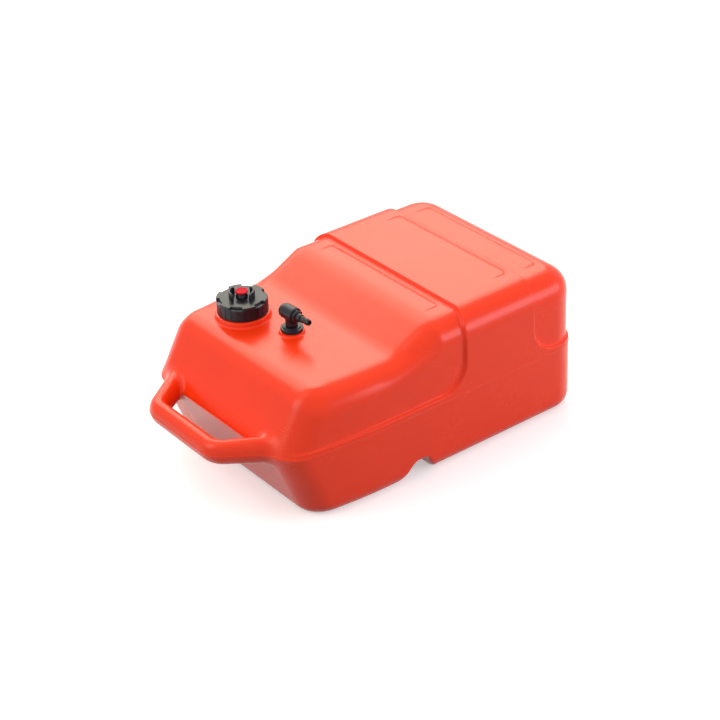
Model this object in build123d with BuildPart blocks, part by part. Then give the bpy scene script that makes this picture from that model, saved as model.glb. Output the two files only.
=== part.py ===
from build123d import *

import os
from math import cos, radians, sin, tan

# A portable outboard fuel tank: a hollow moulded body with a carry handle, a vented filler cap
# that screws onto its neck, and a swivelling outlet elbow with a hose barb, pickup tube and
# strainer.  Millimetres, +Z up, the handle towards -X.  The origin is on the resting plane,
# under the middle of the overall length.

# ---------------------------------------------------------------- body of the tank
BODY_LENGTH = 471.0  # front bottom edge to rear wall
BODY_WIDTH = 350.0
BODY_HEIGHT = 221.0
WALL = 4.0
PARTING_HEIGHT = 103.0  # widest level, where the two mould halves met
FRONT_OVERHANG = 39.0  # how far the front wall leans out at that level
DECK_HEIGHT = 185.0  # low front deck that carries the cap and the outlet
DECK_FRONT = 8.0  # the deck's front edge, behind the front bottom edge
RAMP_START = 156.0  # the ramp from the deck up to the top
RAMP_END = 216.0
TAPER_START = 130.0  # the sides run straight behind this and close in before it
PARTING_TAPER = 15.0  # how far each side has closed in at the front, at the parting level
FOOT_TAPER = 11.0
REAR_CORNER_R = 45.0
FRONT_CORNER_R = 38.0
TOP_EDGE_R = 37.0
FOOT_EDGE_R = 20.0
RAMP_FOOT_R = 35.0
RAMP_HEAD_R = 60.0

# The raised band round the middle, and the proud foot below the ledge
STEP = 5.0
LEDGE_HEIGHT = 111.0
BAND_FRONT_TOP = 267.0
BAND_FRONT_SIDE = 257.0
BAND_REAR_TOP = 390.0
BAND_REAR_SIDE = 382.0
BAND_LEAN_HEIGHT = 195.0  # the band's edges lean back from this level to the top
BAND_CORNER_R = 41.0

# The strap channel across the underside
CHANNEL_FRONT = 137.0
CHANNEL_REAR = 201.0
CHANNEL_DEPTH = 28.0
CHANNEL_TOP_FRONT = 166.0
CHANNEL_TOP_REAR = 186.0
CHANNEL_R = 9.0

# Shallow mould lines on the top
LINE_WIDTH = 0.9
LINE_DEPTH = 0.6
LINE_SETBACK = 11.0  # ahead of the band's two edges
LINE_REAR_SETBACK = 37.0  # ahead of the rear wall
LINE_SPAN = 236.0
LINE_RETURN = 24.0

# ---------------------------------------------------------------- carry handle
HANDLE_REACH = 102.5  # ahead of the body's front bottom edge
HANDLE_BAR_WIDTH = 27.0
HANDLE_BAR_HEIGHT = 35.0
HANDLE_SPAN = 140.0  # between the bends of its centre line
HANDLE_SPLAY = 0.675  # sideways run of each arm for each millimetre towards the body
HANDLE_BEND_R = 26.0
HANDLE_ROOT_R = 9.0

# ---------------------------------------------------------------- filler neck and cap
CAP_X = 71.0  # behind the body's front bottom edge
CAP_Y = 83.0
COLLAR_D = 77.0
COLLAR_HEIGHT = 8.0
NECK_D = 57.0
NECK_WALL = 3.5
NECK_HEIGHT = 24.0  # above the deck
THREAD_PITCH = 5.0
THREAD_DEPTH = 1.5
THREAD_RIB = 1.8
THREAD_TURNS = 2.0
THREAD_BELOW_RIM = 11.5  # from the neck's rim down to where its thread starts
THREAD_GAP = 0.4  # radial
THREAD_ROOT = 0.3  # how deep a rib is rooted in its wall

CAP_D = 72.0
CAP_SEAT_GAP = 1.0  # between the cap's skirt and the collar
CAP_PLATE = 4.0
CAP_LOBES = 6
CAP_NOTCH_ANGLE = 29.0  # degrees
CAP_NOTCH_DEPTH = 3.5
CAP_NOTCH_WIDTH = 5.0
CAP_NOTCH_PHASE = 41.3
CAP_RIBS = 24
CAP_RIB_GROOVE = 1.2
CAP_RIB_DEPTH = 0.6

FIN_INNER_R = 15.5
FIN_THICKNESS = 2.8
FINS = 2
FIN_SWEEP = 96.0  # degrees
FIN_HEIGHT = 10.0
FIN_PHASE = -38.0

GASKET_THICKNESS = 2.0
GASKET_GAP = 0.1
LINER_GAP = 0.5
LINER_THICKNESS = 4.0

# ---------------------------------------------------------------- vent screw
VENT_SHANK_D = 6.0
VENT_RUNNING_GAP = 0.05
VENT_BOSS_D = 12.0
VENT_BOSS_DEPTH = 4.0
VENT_RISE = 2.25
VENT_HEAD_BASE_D = 17.0
VENT_HEAD_TOP_D = 10.6
VENT_HEAD_HEIGHT = 6.2
VENT_HEAD_LAND = 1.0  # upright part at the foot and the top of the flared head
VENT_SEAL_THICKNESS = 0.8
VENT_SEAL_D = 15.0
VENT_HOLE_D = 2.4
VENT_HOLES = 3
VENT_KNOB_D = 18.0
VENT_KNOB_THICKNESS = 2.4
VENT_PEG_D = 5.0
VENT_PEG_LENGTH = 3.5
VENT_CLIP_D = 9.5
VENT_CLIP_THICKNESS = 0.8
VENT_CLIP_PLAY = 0.4
VENT_GROOVE_DEPTH = 0.7

# ---------------------------------------------------------------- outlet fitting
OUTLET_X = 94.0
OUTLET_BOSS_D = 34.0
OUTLET_BOSS_HEIGHT = 3.5
OUTLET_BOSS_DEPTH = 12.0  # below the deck, inside the tank
SPIGOT_D = 21.8
SPIGOT_GAP = 0.05
SPIGOT_TAIL = 2.0  # below the boss
OUTLET_GASKET_D = 29.0
OUTLET_GASKET_THICKNESS = 1.5
BASE_FLANGE_D = 31.6
BASE_FLANGE_THICKNESS = 4.0
BASE_STEP_D = 25.0
BASE_STEP_THICKNESS = 2.0
BASE_EDGE_R = 0.8
BASE_SOCKET_DEPTH = 18.0  # from the step's top
NIPPLE_D = 8.4
NIPPLE_LENGTH = 14.0
NIPPLE_BORE = 5.0

ELBOW_HEAD_HEIGHT = 30.0  # the head's axis above the deck
ELBOW_HEAD_D = 21.6
ELBOW_STEM_D = 17.0
ELBOW_HEAD_BACK = 19.5
ELBOW_HEAD_FRONT = 9.5
ELBOW_DOME_R = 9.3
ELBOW_TURN = 3.5  # degrees that the barb points away from -Y, towards +X
ELBOW_LIFT = 0.3  # running gap above the base
ELBOW_PIN_D = 12.0
ELBOW_PIN_GAP = 0.05
ELBOW_PIN_LENGTH = 16.5
ELBOW_BORE = 6.0
BEAD_HEIGHT = 0.5
BEAD_WIDTH = 1.6
BEAD_BELOW = 3.0
BEAD_GAP = 0.35
RING_SECTION = 1.5
RING_GROOVE_GAP = 0.05
RING_SPACING = 4.0
RING_BELOW = 7.0

BARB_THREAD_D = 12.0
BARB_THREAD_LENGTH = 8.0
BARB_THREAD_GAP = 0.05
BARB_COLLAR_D = 18.0  # across its corners
BARB_COLLAR_LENGTH = 4.5
BARB_SEAL_D = 15.5
BARB_SEAL_THICKNESS = 1.0
BARB_ROOT_D = 11.3
BARB_ROOT_LENGTH = 7.5
BARB_SHANK_D = 7.8
BARB_TIP_D = 9.6
BARB_LAND = 2.6
BARB_RAMP = 4.0
BARB_LENGTH = 24.0  # from the collar to the tip
BARB_BORE = 5.0
BARB_RIDGES = 2

# ---------------------------------------------------------------- pickup inside the tank
TUBE_WALL = 1.3
TUBE_TOP_GAP = 1.0
TUBE_FLOOR_GAP = 26.0  # from the tank's inner floor to the tube's lower end
STRAINER_D = 16.0
STRAINER_WALL = 1.2
STRAINER_LENGTH = 24.0
STRAINER_WINDOWS = 4
STRAINER_WINDOW_ANGLE = 58.0
STRAINER_END = 3.0
STRAINER_PLUG_LENGTH = 9.0
STRAINER_TOP_GAP = 0.5
SCREEN_WALL = 0.4
SCREEN_GAP = 0.1

# ---------------------------------------------------------------- derived places
FRONT_X = (HANDLE_REACH - BODY_LENGTH) / 2  # the body's front bottom edge in the part's frame
FRONT_LEAN = (DECK_FRONT + FRONT_OVERHANG) / (DECK_HEIGHT - PARTING_HEIGHT)
LOFT_TOP = BODY_HEIGHT + 40.0
FAR = 2 * BODY_LENGTH
SIDE = Plane(origin=(FRONT_X, 0, 0), x_dir=(1, 0, 0), z_dir=(0, -1, 0))

CAP_PLACE = (CAP_X, CAP_Y)
OUTLET_PLACE = (OUTLET_X, 0)
COLLAR_TOP = DECK_HEIGHT + COLLAR_HEIGHT
NECK_BORE = NECK_D - 2 * NECK_WALL
NECK_RIM = DECK_HEIGHT + NECK_HEIGHT
THREAD_START = NECK_RIM - THREAD_BELOW_RIM
CAP_FOOT = COLLAR_TOP + CAP_SEAT_GAP
CAP_CEILING = NECK_RIM + GASKET_THICKNESS
CAP_TOP = CAP_CEILING + CAP_PLATE
CAP_INNER_R = NECK_D / 2 + THREAD_DEPTH + THREAD_GAP
LINER_RIM_R = NECK_BORE / 2 - LINER_GAP

VENT_SHANK_R = VENT_SHANK_D / 2
VENT_HEAD_FOOT = CAP_TOP + VENT_SEAL_THICKNESS
VENT_HEAD_TOP = VENT_HEAD_FOOT + VENT_HEAD_HEIGHT
VENT_CLIP_TOP = CAP_CEILING - VENT_BOSS_DEPTH - VENT_RISE - VENT_CLIP_PLAY
VENT_TAIL = VENT_CLIP_TOP - 2 * VENT_CLIP_THICKNESS

OUTLET_SEAT = DECK_HEIGHT + OUTLET_BOSS_HEIGHT
BASE_FOOT = OUTLET_SEAT + OUTLET_GASKET_THICKNESS
BASE_TOP = BASE_FOOT + BASE_FLANGE_THICKNESS + BASE_STEP_THICKNESS
BOSS_FOOT = DECK_HEIGHT - OUTLET_BOSS_DEPTH
SPIGOT_FOOT = BOSS_FOOT - SPIGOT_TAIL
SPIGOT_HOLE_R = SPIGOT_D / 2 + SPIGOT_GAP
SOCKET_R = ELBOW_PIN_D / 2 + ELBOW_PIN_GAP
SOCKET_FLOOR = BASE_TOP - BASE_SOCKET_DEPTH
NIPPLE_FOOT = SPIGOT_FOOT - NIPPLE_LENGTH
ELBOW_FOOT = BASE_TOP + ELBOW_LIFT
HEAD_AXIS = DECK_HEIGHT + ELBOW_HEAD_HEIGHT
BEAD_LEVEL = BASE_TOP - BEAD_BELOW
RING_LEVELS = [BASE_TOP - RING_BELOW, BASE_TOP - RING_BELOW - RING_SPACING]
RING_CENTRE_R = SOCKET_R - ELBOW_PIN_GAP - RING_SECTION / 2

SEAL_FACE = ELBOW_HEAD_FRONT + BARB_SEAL_THICKNESS
BARB_START = SEAL_FACE + BARB_COLLAR_LENGTH
BARB_TIP = BARB_START + BARB_LENGTH

TUBE_INNER_R = NIPPLE_D / 2
TUBE_OUTER_R = TUBE_INNER_R + TUBE_WALL
TUBE_TOP = SPIGOT_FOOT - TUBE_TOP_GAP
TUBE_FOOT = WALL + TUBE_FLOOR_GAP
STRAINER_TOP = TUBE_FOOT - STRAINER_TOP_GAP
STRAINER_FOOT = STRAINER_TOP - STRAINER_LENGTH
STRAINER_PLUG_TOP = STRAINER_TOP + STRAINER_PLUG_LENGTH
CAGE_INNER_R = STRAINER_D / 2 - STRAINER_WALL
WINDOW_FOOT = STRAINER_FOOT + STRAINER_END
WINDOW_TOP = STRAINER_TOP - STRAINER_END


def level(height):
    """A horizontal plane whose origin is above the body's front bottom edge."""
    return Plane(origin=(FRONT_X, 0, height), x_dir=(1, 0, 0), z_dir=(0, 0, 1))


def over(place, height):
    """A horizontal plane at a height, centred on a place on the deck."""
    return Plane(origin=(FRONT_X + place[0], place[1], height))


def upright(place):
    """A vertical plane along X through the axis that stands on a place on the deck."""
    return Plane(origin=(FRONT_X + place[0], place[1], 0), x_dir=(1, 0, 0), z_dir=(0, -1, 0))


def axis_of(place):
    """The vertical axis over a place on the deck."""
    return Axis((FRONT_X + place[0], place[1], 0), (0, 0, 1))


def finish(part, name, colour):
    """Label a finished piece and write its STEP file."""
    part.label = name
    part.color = Color(*colour)
    export_step(part, f"parts/{name}.step")
    return part


RED = (0.86, 0.13, 0.06)
BLACK = (0.05, 0.05, 0.05)
RUBBER = (0.02, 0.02, 0.02)
NATURAL = (0.75, 0.73, 0.66)
STEEL = (0.6, 0.6, 0.6)


# ================================================================ the tank's form
def plan_outline(height, front, half_width, taper, inset):
    """Plan outline of the body at one level: straight sides that close in towards the front."""
    with BuildSketch(level(height)) as outline:
        with BuildLine():
            Line((BODY_LENGTH, -half_width), (TAPER_START, -half_width))
            TangentArc((TAPER_START, -half_width), (front, taper - half_width), tangent=(-1, 0))
            Line((front, taper - half_width), (front, half_width - taper))
            TangentArc((TAPER_START, half_width), (front, half_width - taper), tangent=(-1, 0))
            Line((TAPER_START, half_width), (BODY_LENGTH, half_width))
            Line((BODY_LENGTH, half_width), (BODY_LENGTH, -half_width))
        make_face()
        fillet(outline.vertices().group_by(Axis.X)[-1], REAR_CORNER_R)
        fillet(outline.vertices().group_by(Axis.X)[0], FRONT_CORNER_R)
        if inset:
            offset(amount=-inset)
    return outline.sketch


def hull(step, inset):
    """The body's closed form, sunk by a step on its sides and top, and inset for the cavity."""
    half_width = BODY_WIDTH / 2 - step
    # the sunk and the proud form meet at the front, where the step runs out
    parting_taper = PARTING_TAPER - step
    foot_taper = FOOT_TAPER - step
    top = BODY_HEIGHT - step - inset
    deck = DECK_HEIGHT + STEP - step - inset
    upper_front = FRONT_LEAN * (LOFT_TOP - PARTING_HEIGHT) - FRONT_OVERHANG
    foot = plan_outline(inset, 0, half_width, foot_taper, inset)
    parting = plan_outline(PARTING_HEIGHT, -FRONT_OVERHANG, half_width, parting_taper, inset)
    upper = plan_outline(LOFT_TOP, upper_front, half_width, parting_taper, inset)
    with BuildPart() as form:
        loft([foot, parting], ruled=True)
        loft([parting, upper], ruled=True)
        with BuildSketch(SIDE) as profile:
            with BuildLine():
                Polyline(
                    (-FAR, 0),
                    (FAR, 0),
                    (FAR, top),
                    (RAMP_END, top),
                    (RAMP_START, deck),
                    (-FAR, deck),
                    close=True,
                )
            make_face()
            crest = profile.vertices().group_by(Axis.Y)[-1].sort_by(Axis.X)[0]
            fillet(crest, RAMP_HEAD_R + inset)
            foot_of_ramp = profile.vertices().group_by(Axis.Y)[1].sort_by(Axis.X)[-1]
            fillet(foot_of_ramp, RAMP_FOOT_R)
        extrude(amount=BODY_WIDTH, both=True, mode=Mode.INTERSECT)
        rim = form.edges().filter_by(lambda e: e.center().Z > deck - 1 and not crosses(e))
        fillet(rim, TOP_EDGE_R - step / 2 - inset)
        fillet(form.edges().group_by(Axis.Z)[0], FOOT_EDGE_R - inset)
    return form.part


def crosses(edge):
    """True for an edge that runs straight across the body between its two long sides."""
    size = edge.bounding_box().size
    inland = FRONT_X + DECK_FRONT + WALL < edge.center().X < FRONT_X + BODY_LENGTH - 2 * WALL
    return inland and size.X < 1 and size.Z < 1 and size.Y > BODY_WIDTH / 2


def band_region(inset):
    """What stands proud: the raised band round the middle, and all below the ledge."""
    low = LEDGE_HEIGHT - inset
    with BuildPart() as region:
        with BuildSketch(SIDE) as outline:
            with BuildLine():
                Polyline(
                    (-FAR, -FAR),
                    (FAR, -FAR),
                    (FAR, low),
                    (BAND_REAR_SIDE - inset, low),
                    (BAND_REAR_SIDE - inset, BAND_LEAN_HEIGHT),
                    (BAND_REAR_TOP - inset, BODY_HEIGHT),
                    (BAND_REAR_TOP - inset, LOFT_TOP),
                    (BAND_FRONT_TOP + inset, LOFT_TOP),
                    (BAND_FRONT_TOP + inset, BODY_HEIGHT),
                    (BAND_FRONT_SIDE + inset, BAND_LEAN_HEIGHT),
                    (BAND_FRONT_SIDE + inset, low),
                    (-FAR, low),
                    close=True,
                )
            make_face()
            corners = outline.vertices().filter_by_position(Axis.Y, low - 1, low + 1)
            fillet(corners.sort_by(Axis.X)[1:3], BAND_CORNER_R + inset)
        extrude(amount=BODY_WIDTH, both=True)
    return region.part


def channel(inset):
    """The strap channel's space, grown by the inset."""
    with BuildPart() as space:
        with BuildSketch(SIDE) as section:
            with BuildLine():
                Polyline(
                    (CHANNEL_FRONT - CHANNEL_R, -CHANNEL_R),
                    (CHANNEL_FRONT, 0),
                    (CHANNEL_TOP_FRONT, CHANNEL_DEPTH),
                    (CHANNEL_TOP_REAR, CHANNEL_DEPTH),
                    (CHANNEL_REAR, 0),
                    (CHANNEL_REAR + CHANNEL_R, -CHANNEL_R),
                    close=True,
                )
            make_face()
            fillet(section.vertices().group_by(Axis.Y)[-1], CHANNEL_R)
            if inset:
                offset(amount=inset)
        extrude(amount=BODY_WIDTH, both=True)
    return space.part


def handle_loop(inset):
    """The carry handle's bar and arms, ending inside the body."""
    bend_x = HANDLE_BAR_WIDTH / 2 - HANDLE_REACH
    bend_y = HANDLE_SPAN / 2
    end_x = -FRONT_OVERHANG + 2 * HANDLE_ROOT_R + WALL
    end_y = bend_y + HANDLE_SPLAY * (end_x - bend_x)
    with BuildPart() as loop:
        with BuildLine(level(PARTING_HEIGHT)) as path:
            FilletPolyline(
                (end_x, -end_y),
                (bend_x, -bend_y),
                (bend_x, bend_y),
                (end_x, end_y),
                radius=HANDLE_BEND_R,
            )
        with BuildSketch(Plane(origin=path.line @ 0, z_dir=path.line % 0, x_dir=(0, 0, 1))):
            Ellipse(HANDLE_BAR_HEIGHT / 2 - inset, HANDLE_BAR_WIDTH / 2 - inset)
        sweep(path=path.line)
    return loop.part


def tank_form(inset):
    """The whole moulded form, or with an inset the hollow inside it."""
    proud = hull(0, inset)
    region = band_region(inset)
    with BuildPart() as form:
        add(proud)
        add(region, mode=Mode.INTERSECT)
        add(hull(STEP, inset))
        add(handle_loop(inset))
        add(channel(inset), mode=Mode.SUBTRACT)
    return form.part


def thread(radius, outwards, start):
    """One helical rib on a wall of this radius, standing out of it or into its bore."""
    side = 1 if outwards else -1
    root = radius - side * THREAD_ROOT
    crest = radius + side * THREAD_DEPTH
    with BuildPart() as rib:
        with BuildLine() as path:
            Helix(THREAD_PITCH, THREAD_PITCH * THREAD_TURNS, radius, center=(0, 0, start))
        with BuildSketch(Plane.XZ):
            with BuildLine():
                Polyline(
                    (root, start - THREAD_RIB / 2),
                    (root, start + THREAD_RIB / 2),
                    (crest, start + THREAD_RIB / 4),
                    (crest, start - THREAD_RIB / 4),
                    close=True,
                )
            make_face()
        sweep(path=path.line, is_frenet=True)
    return rib.part


# ================================================================ the tank shell
def mould_line(x, top):
    """A shallow line across the top, with a short return towards the front at each end."""
    with BuildPart() as line:
        with BuildSketch(level(top - LINE_DEPTH)):
            with Locations((x, 0)):
                Rectangle(LINE_WIDTH, LINE_SPAN)
            with Locations((x - LINE_RETURN / 2, -LINE_SPAN / 2), (x - LINE_RETURN / 2, LINE_SPAN / 2)):
                Rectangle(LINE_RETURN + LINE_WIDTH, LINE_WIDTH)
        extrude(amount=2 * LINE_DEPTH)
    return line.part


def column(place, diameter, low, high):
    """A round upright between two levels."""
    with BuildPart() as post:
        with BuildSketch(over(place, low)):
            Circle(diameter / 2)
        extrude(amount=high - low)
    return post.part


with BuildPart() as tank_shell:
    add(tank_form(0))
    add(column(CAP_PLACE, COLLAR_D, DECK_HEIGHT - WALL, COLLAR_TOP))
    add(column(CAP_PLACE, NECK_D, DECK_HEIGHT - WALL, NECK_RIM))
    add(tank_form(WALL), mode=Mode.SUBTRACT)
    add(column(OUTLET_PLACE, OUTLET_BOSS_D, BOSS_FOOT, OUTLET_SEAT))
    add(column(CAP_PLACE, NECK_BORE, DECK_HEIGHT - 2 * WALL, NECK_RIM), mode=Mode.SUBTRACT)
    add(column(OUTLET_PLACE, 2 * SPIGOT_HOLE_R, BOSS_FOOT, OUTLET_SEAT), mode=Mode.SUBTRACT)
    with Locations((FRONT_X + CAP_X, CAP_Y, 0)):
        add(thread(NECK_D / 2, True, THREAD_START))
    add(mould_line(BAND_FRONT_TOP - LINE_SETBACK, BODY_HEIGHT - STEP), mode=Mode.SUBTRACT)
    add(mould_line(BAND_REAR_TOP - LINE_SETBACK, BODY_HEIGHT), mode=Mode.SUBTRACT)
    add(mould_line(BODY_LENGTH - LINE_REAR_SETBACK, BODY_HEIGHT - STEP), mode=Mode.SUBTRACT)


# ================================================================ the filler cap
def slices(count, phase, sweep, inner_r, outer_r):
    """Equal slices of a flat ring, the first one centred on the phase angle."""
    spread = 2 * outer_r * tan(radians(sweep / 2))
    with BuildSketch() as ring:
        with PolarLocations(0, count, start_angle=phase):
            Polygon((0, 0), (2 * outer_r, -spread), (2 * outer_r, spread), align=None)
        Circle(outer_r, mode=Mode.INTERSECT)
        Circle(inner_r, mode=Mode.SUBTRACT)
    return ring.sketch


def cap_notches():
    """The lowered notches round the cap's rim, between its lobes."""
    outer_r = CAP_D / 2 + CAP_NOTCH_WIDTH
    inner_r = CAP_D / 2 - CAP_NOTCH_WIDTH
    with BuildPart() as notches:
        with BuildSketch(over(CAP_PLACE, CAP_TOP - CAP_NOTCH_DEPTH)):
            add(slices(CAP_LOBES, CAP_NOTCH_PHASE, CAP_NOTCH_ANGLE, inner_r, outer_r))
        extrude(amount=2 * CAP_NOTCH_DEPTH)
    return notches.part


def guards():
    """The upright curved guards on both sides of the vent knob."""
    with BuildPart() as pair:
        with BuildSketch(over(CAP_PLACE, CAP_TOP - CAP_PLATE / 2)):
            add(slices(FINS, FIN_PHASE, FIN_SWEEP, FIN_INNER_R, FIN_INNER_R + FIN_THICKNESS))
        extrude(amount=CAP_PLATE / 2 + FIN_HEIGHT)
        fillet(pair.edges().group_by(Axis.Z)[-1], FIN_THICKNESS / 4)
    return pair.part


with BuildPart() as cap_shell:
    with BuildSketch(over(CAP_PLACE, CAP_FOOT)):
        Circle(CAP_D / 2)
        with PolarLocations(CAP_D / 2, CAP_RIBS):
            Rectangle(2 * CAP_RIB_DEPTH, CAP_RIB_GROOVE, mode=Mode.SUBTRACT)
    extrude(amount=CAP_TOP - CAP_FOOT)
    fillet(cap_shell.faces().sort_by(Axis.Z)[-1].edges().filter_by(GeomType.CIRCLE), CAP_RIB_DEPTH / 2)
    add(cap_notches(), mode=Mode.SUBTRACT)
    add(column(CAP_PLACE, 2 * CAP_INNER_R, CAP_FOOT, CAP_CEILING), mode=Mode.SUBTRACT)
    add(column(CAP_PLACE, VENT_BOSS_D, CAP_CEILING - VENT_BOSS_DEPTH, CAP_CEILING))
    add(guards())
    with Locations((FRONT_X + CAP_X, CAP_Y, 0)):
        add(thread(CAP_INNER_R, False, THREAD_START - THREAD_PITCH / 2))
    with BuildSketch(over(CAP_PLACE, CAP_CEILING - VENT_BOSS_DEPTH)):
        Circle(VENT_SHANK_R + VENT_RUNNING_GAP)
        with PolarLocations((VENT_BOSS_D + VENT_SHANK_D) / 4, VENT_HOLES):
            Circle(VENT_HOLE_D / 2)
    extrude(amount=VENT_BOSS_DEPTH + CAP_PLATE, mode=Mode.SUBTRACT)

# the liner plugs the neck and holds the gasket on its rim; neither turns with the cap
with BuildPart() as cap_liner:
    with BuildSketch(over(CAP_PLACE, CAP_CEILING - GASKET_GAP - LINER_THICKNESS)):
        Circle(LINER_RIM_R)
        Circle(VENT_BOSS_D / 2 + LINER_GAP, mode=Mode.SUBTRACT)
    extrude(amount=LINER_THICKNESS)

with BuildPart() as cap_gasket:
    with BuildSketch(over(CAP_PLACE, NECK_RIM)):
        Circle(NECK_D / 2 + THREAD_DEPTH)
        Circle(LINER_RIM_R, mode=Mode.SUBTRACT)
    extrude(amount=GASKET_THICKNESS - GASKET_GAP)

# ================================================================ the vent screw
with BuildPart() as vent_screw:
    with BuildSketch(upright(CAP_PLACE)):
        with BuildLine():
            Polyline(
                (0, VENT_TAIL),
                (VENT_SHANK_R, VENT_TAIL),
                (VENT_SHANK_R, VENT_CLIP_TOP - VENT_CLIP_THICKNESS),
                (VENT_SHANK_R - VENT_GROOVE_DEPTH, VENT_CLIP_TOP - VENT_CLIP_THICKNESS),
                (VENT_SHANK_R - VENT_GROOVE_DEPTH, VENT_CLIP_TOP),
                (VENT_SHANK_R, VENT_CLIP_TOP),
                (VENT_SHANK_R, VENT_HEAD_FOOT),
                (VENT_HEAD_BASE_D / 2, VENT_HEAD_FOOT),
                (VENT_HEAD_BASE_D / 2, VENT_HEAD_FOOT + VENT_HEAD_LAND),
                (VENT_HEAD_TOP_D / 2, VENT_HEAD_TOP - VENT_HEAD_LAND),
                (VENT_HEAD_TOP_D / 2, VENT_HEAD_TOP),
                (0, VENT_HEAD_TOP),
                close=True,
            )
        make_face()
    revolve(axis=axis_of(CAP_PLACE))
    with BuildSketch(over(CAP_PLACE, VENT_HEAD_TOP - VENT_PEG_LENGTH)):
        Circle(VENT_PEG_D / 2)
    extrude(amount=VENT_PEG_LENGTH, mode=Mode.SUBTRACT)

with BuildPart() as vent_knob:
    add(column(CAP_PLACE, VENT_KNOB_D, VENT_HEAD_TOP, VENT_HEAD_TOP + VENT_KNOB_THICKNESS))
    fillet(vent_knob.edges().group_by(Axis.Z)[-1], VENT_KNOB_THICKNESS / 3)
    add(column(CAP_PLACE, VENT_PEG_D, VENT_HEAD_TOP - VENT_PEG_LENGTH, VENT_HEAD_TOP))

with BuildPart() as vent_seal:
    with BuildSketch(over(CAP_PLACE, CAP_TOP)):
        Circle(VENT_SEAL_D / 2)
        Circle(VENT_SHANK_R + VENT_RUNNING_GAP, mode=Mode.SUBTRACT)
    extrude(amount=VENT_SEAL_THICKNESS)

with BuildPart() as vent_clip:
    with BuildSketch(over(CAP_PLACE, VENT_CLIP_TOP - VENT_CLIP_THICKNESS)):
        Circle(VENT_CLIP_D / 2)
        Circle(VENT_SHANK_R - VENT_GROOVE_DEPTH, mode=Mode.SUBTRACT)
        with Locations((VENT_CLIP_D / 2, 0)):
            Rectangle(VENT_CLIP_D, VENT_SHANK_D - 2 * VENT_GROOVE_DEPTH, mode=Mode.SUBTRACT)
    extrude(amount=VENT_CLIP_THICKNESS)

# ================================================================ the outlet
with BuildPart() as outlet_gasket:
    with BuildSketch(over(OUTLET_PLACE, OUTLET_SEAT)):
        Circle(OUTLET_GASKET_D / 2)
        Circle(SPIGOT_HOLE_R, mode=Mode.SUBTRACT)
    extrude(amount=OUTLET_GASKET_THICKNESS)

with BuildPart() as outlet_base:
    add(column(OUTLET_PLACE, BASE_FLANGE_D, BASE_FOOT, BASE_FOOT + BASE_FLANGE_THICKNESS))
    add(column(OUTLET_PLACE, BASE_STEP_D, BASE_FOOT, BASE_TOP))
    rims = outlet_base.edges().filter_by(GeomType.CIRCLE).group_by(Axis.Z)
    fillet(rims[-1], BASE_EDGE_R)
    fillet(rims[1].sort_by(SortBy.RADIUS)[-1], BASE_EDGE_R)
    add(column(OUTLET_PLACE, SPIGOT_D, SPIGOT_FOOT, BASE_FOOT))
    add(column(OUTLET_PLACE, NIPPLE_D, NIPPLE_FOOT, SPIGOT_FOOT))
    add(column(OUTLET_PLACE, 2 * SOCKET_R, SOCKET_FLOOR, BASE_TOP), mode=Mode.SUBTRACT)
    groove_r = SOCKET_R + BEAD_HEIGHT + BEAD_GAP
    groove_half = BEAD_WIDTH / 2 + BEAD_GAP
    groove = column(OUTLET_PLACE, 2 * groove_r, BEAD_LEVEL - groove_half, BEAD_LEVEL + groove_half)
    add(groove, mode=Mode.SUBTRACT)
    add(column(OUTLET_PLACE, NIPPLE_BORE, NIPPLE_FOOT, SOCKET_FLOOR), mode=Mode.SUBTRACT)

# the elbow's own plane: its local X runs along the barb
ELBOW_ANGLE = ELBOW_TURN - 90
HEAD_DIRECTION = (cos(radians(ELBOW_ANGLE)), sin(radians(ELBOW_ANGLE)), 0)


def along(distance):
    """A plane across the elbow head's axis, this far in front of the stem's axis."""
    return Plane(
        origin=(
            FRONT_X + OUTLET_X + HEAD_DIRECTION[0] * distance,
            HEAD_DIRECTION[1] * distance,
            HEAD_AXIS,
        ),
        x_dir=(0, 0, 1),
        z_dir=HEAD_DIRECTION,
    )


def rod(diameter, start, end):
    """A round bar along the elbow head's axis between two distances."""
    with BuildPart() as bar:
        with BuildSketch(along(start)):
            Circle(diameter / 2)
        extrude(amount=end - start)
    return bar.part


with BuildPart() as elbow:
    add(rod(ELBOW_HEAD_D, -ELBOW_HEAD_BACK, ELBOW_HEAD_FRONT))
    fillet(elbow.edges().sort_by(Axis((0, 0, 0), HEAD_DIRECTION))[0], ELBOW_DOME_R)
    add(column(OUTLET_PLACE, ELBOW_STEM_D, ELBOW_FOOT, HEAD_AXIS))
    add(column(OUTLET_PLACE, ELBOW_PIN_D, BASE_TOP - ELBOW_PIN_LENGTH, ELBOW_FOOT))
    bead_d = 2 * (SOCKET_R + BEAD_HEIGHT)
    add(column(OUTLET_PLACE, bead_d, BEAD_LEVEL - BEAD_WIDTH / 2, BEAD_LEVEL + BEAD_WIDTH / 2))
    for height in RING_LEVELS:
        with BuildSketch(over(OUTLET_PLACE, height - RING_SECTION / 2 - RING_GROOVE_GAP)):
            Circle(SOCKET_R)
            Circle(RING_CENTRE_R - RING_SECTION / 2 - RING_GROOVE_GAP, mode=Mode.SUBTRACT)
        extrude(amount=RING_SECTION + 2 * RING_GROOVE_GAP, mode=Mode.SUBTRACT)
    add(column(OUTLET_PLACE, ELBOW_BORE, BASE_TOP - ELBOW_PIN_LENGTH, HEAD_AXIS), mode=Mode.SUBTRACT)
    add(rod(ELBOW_BORE, 0, ELBOW_HEAD_FRONT), mode=Mode.SUBTRACT)
    thread_start = ELBOW_HEAD_FRONT - BARB_THREAD_LENGTH - BARB_THREAD_GAP
    add(rod(BARB_THREAD_D + 2 * BARB_THREAD_GAP, thread_start, ELBOW_HEAD_FRONT), mode=Mode.SUBTRACT)

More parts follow.
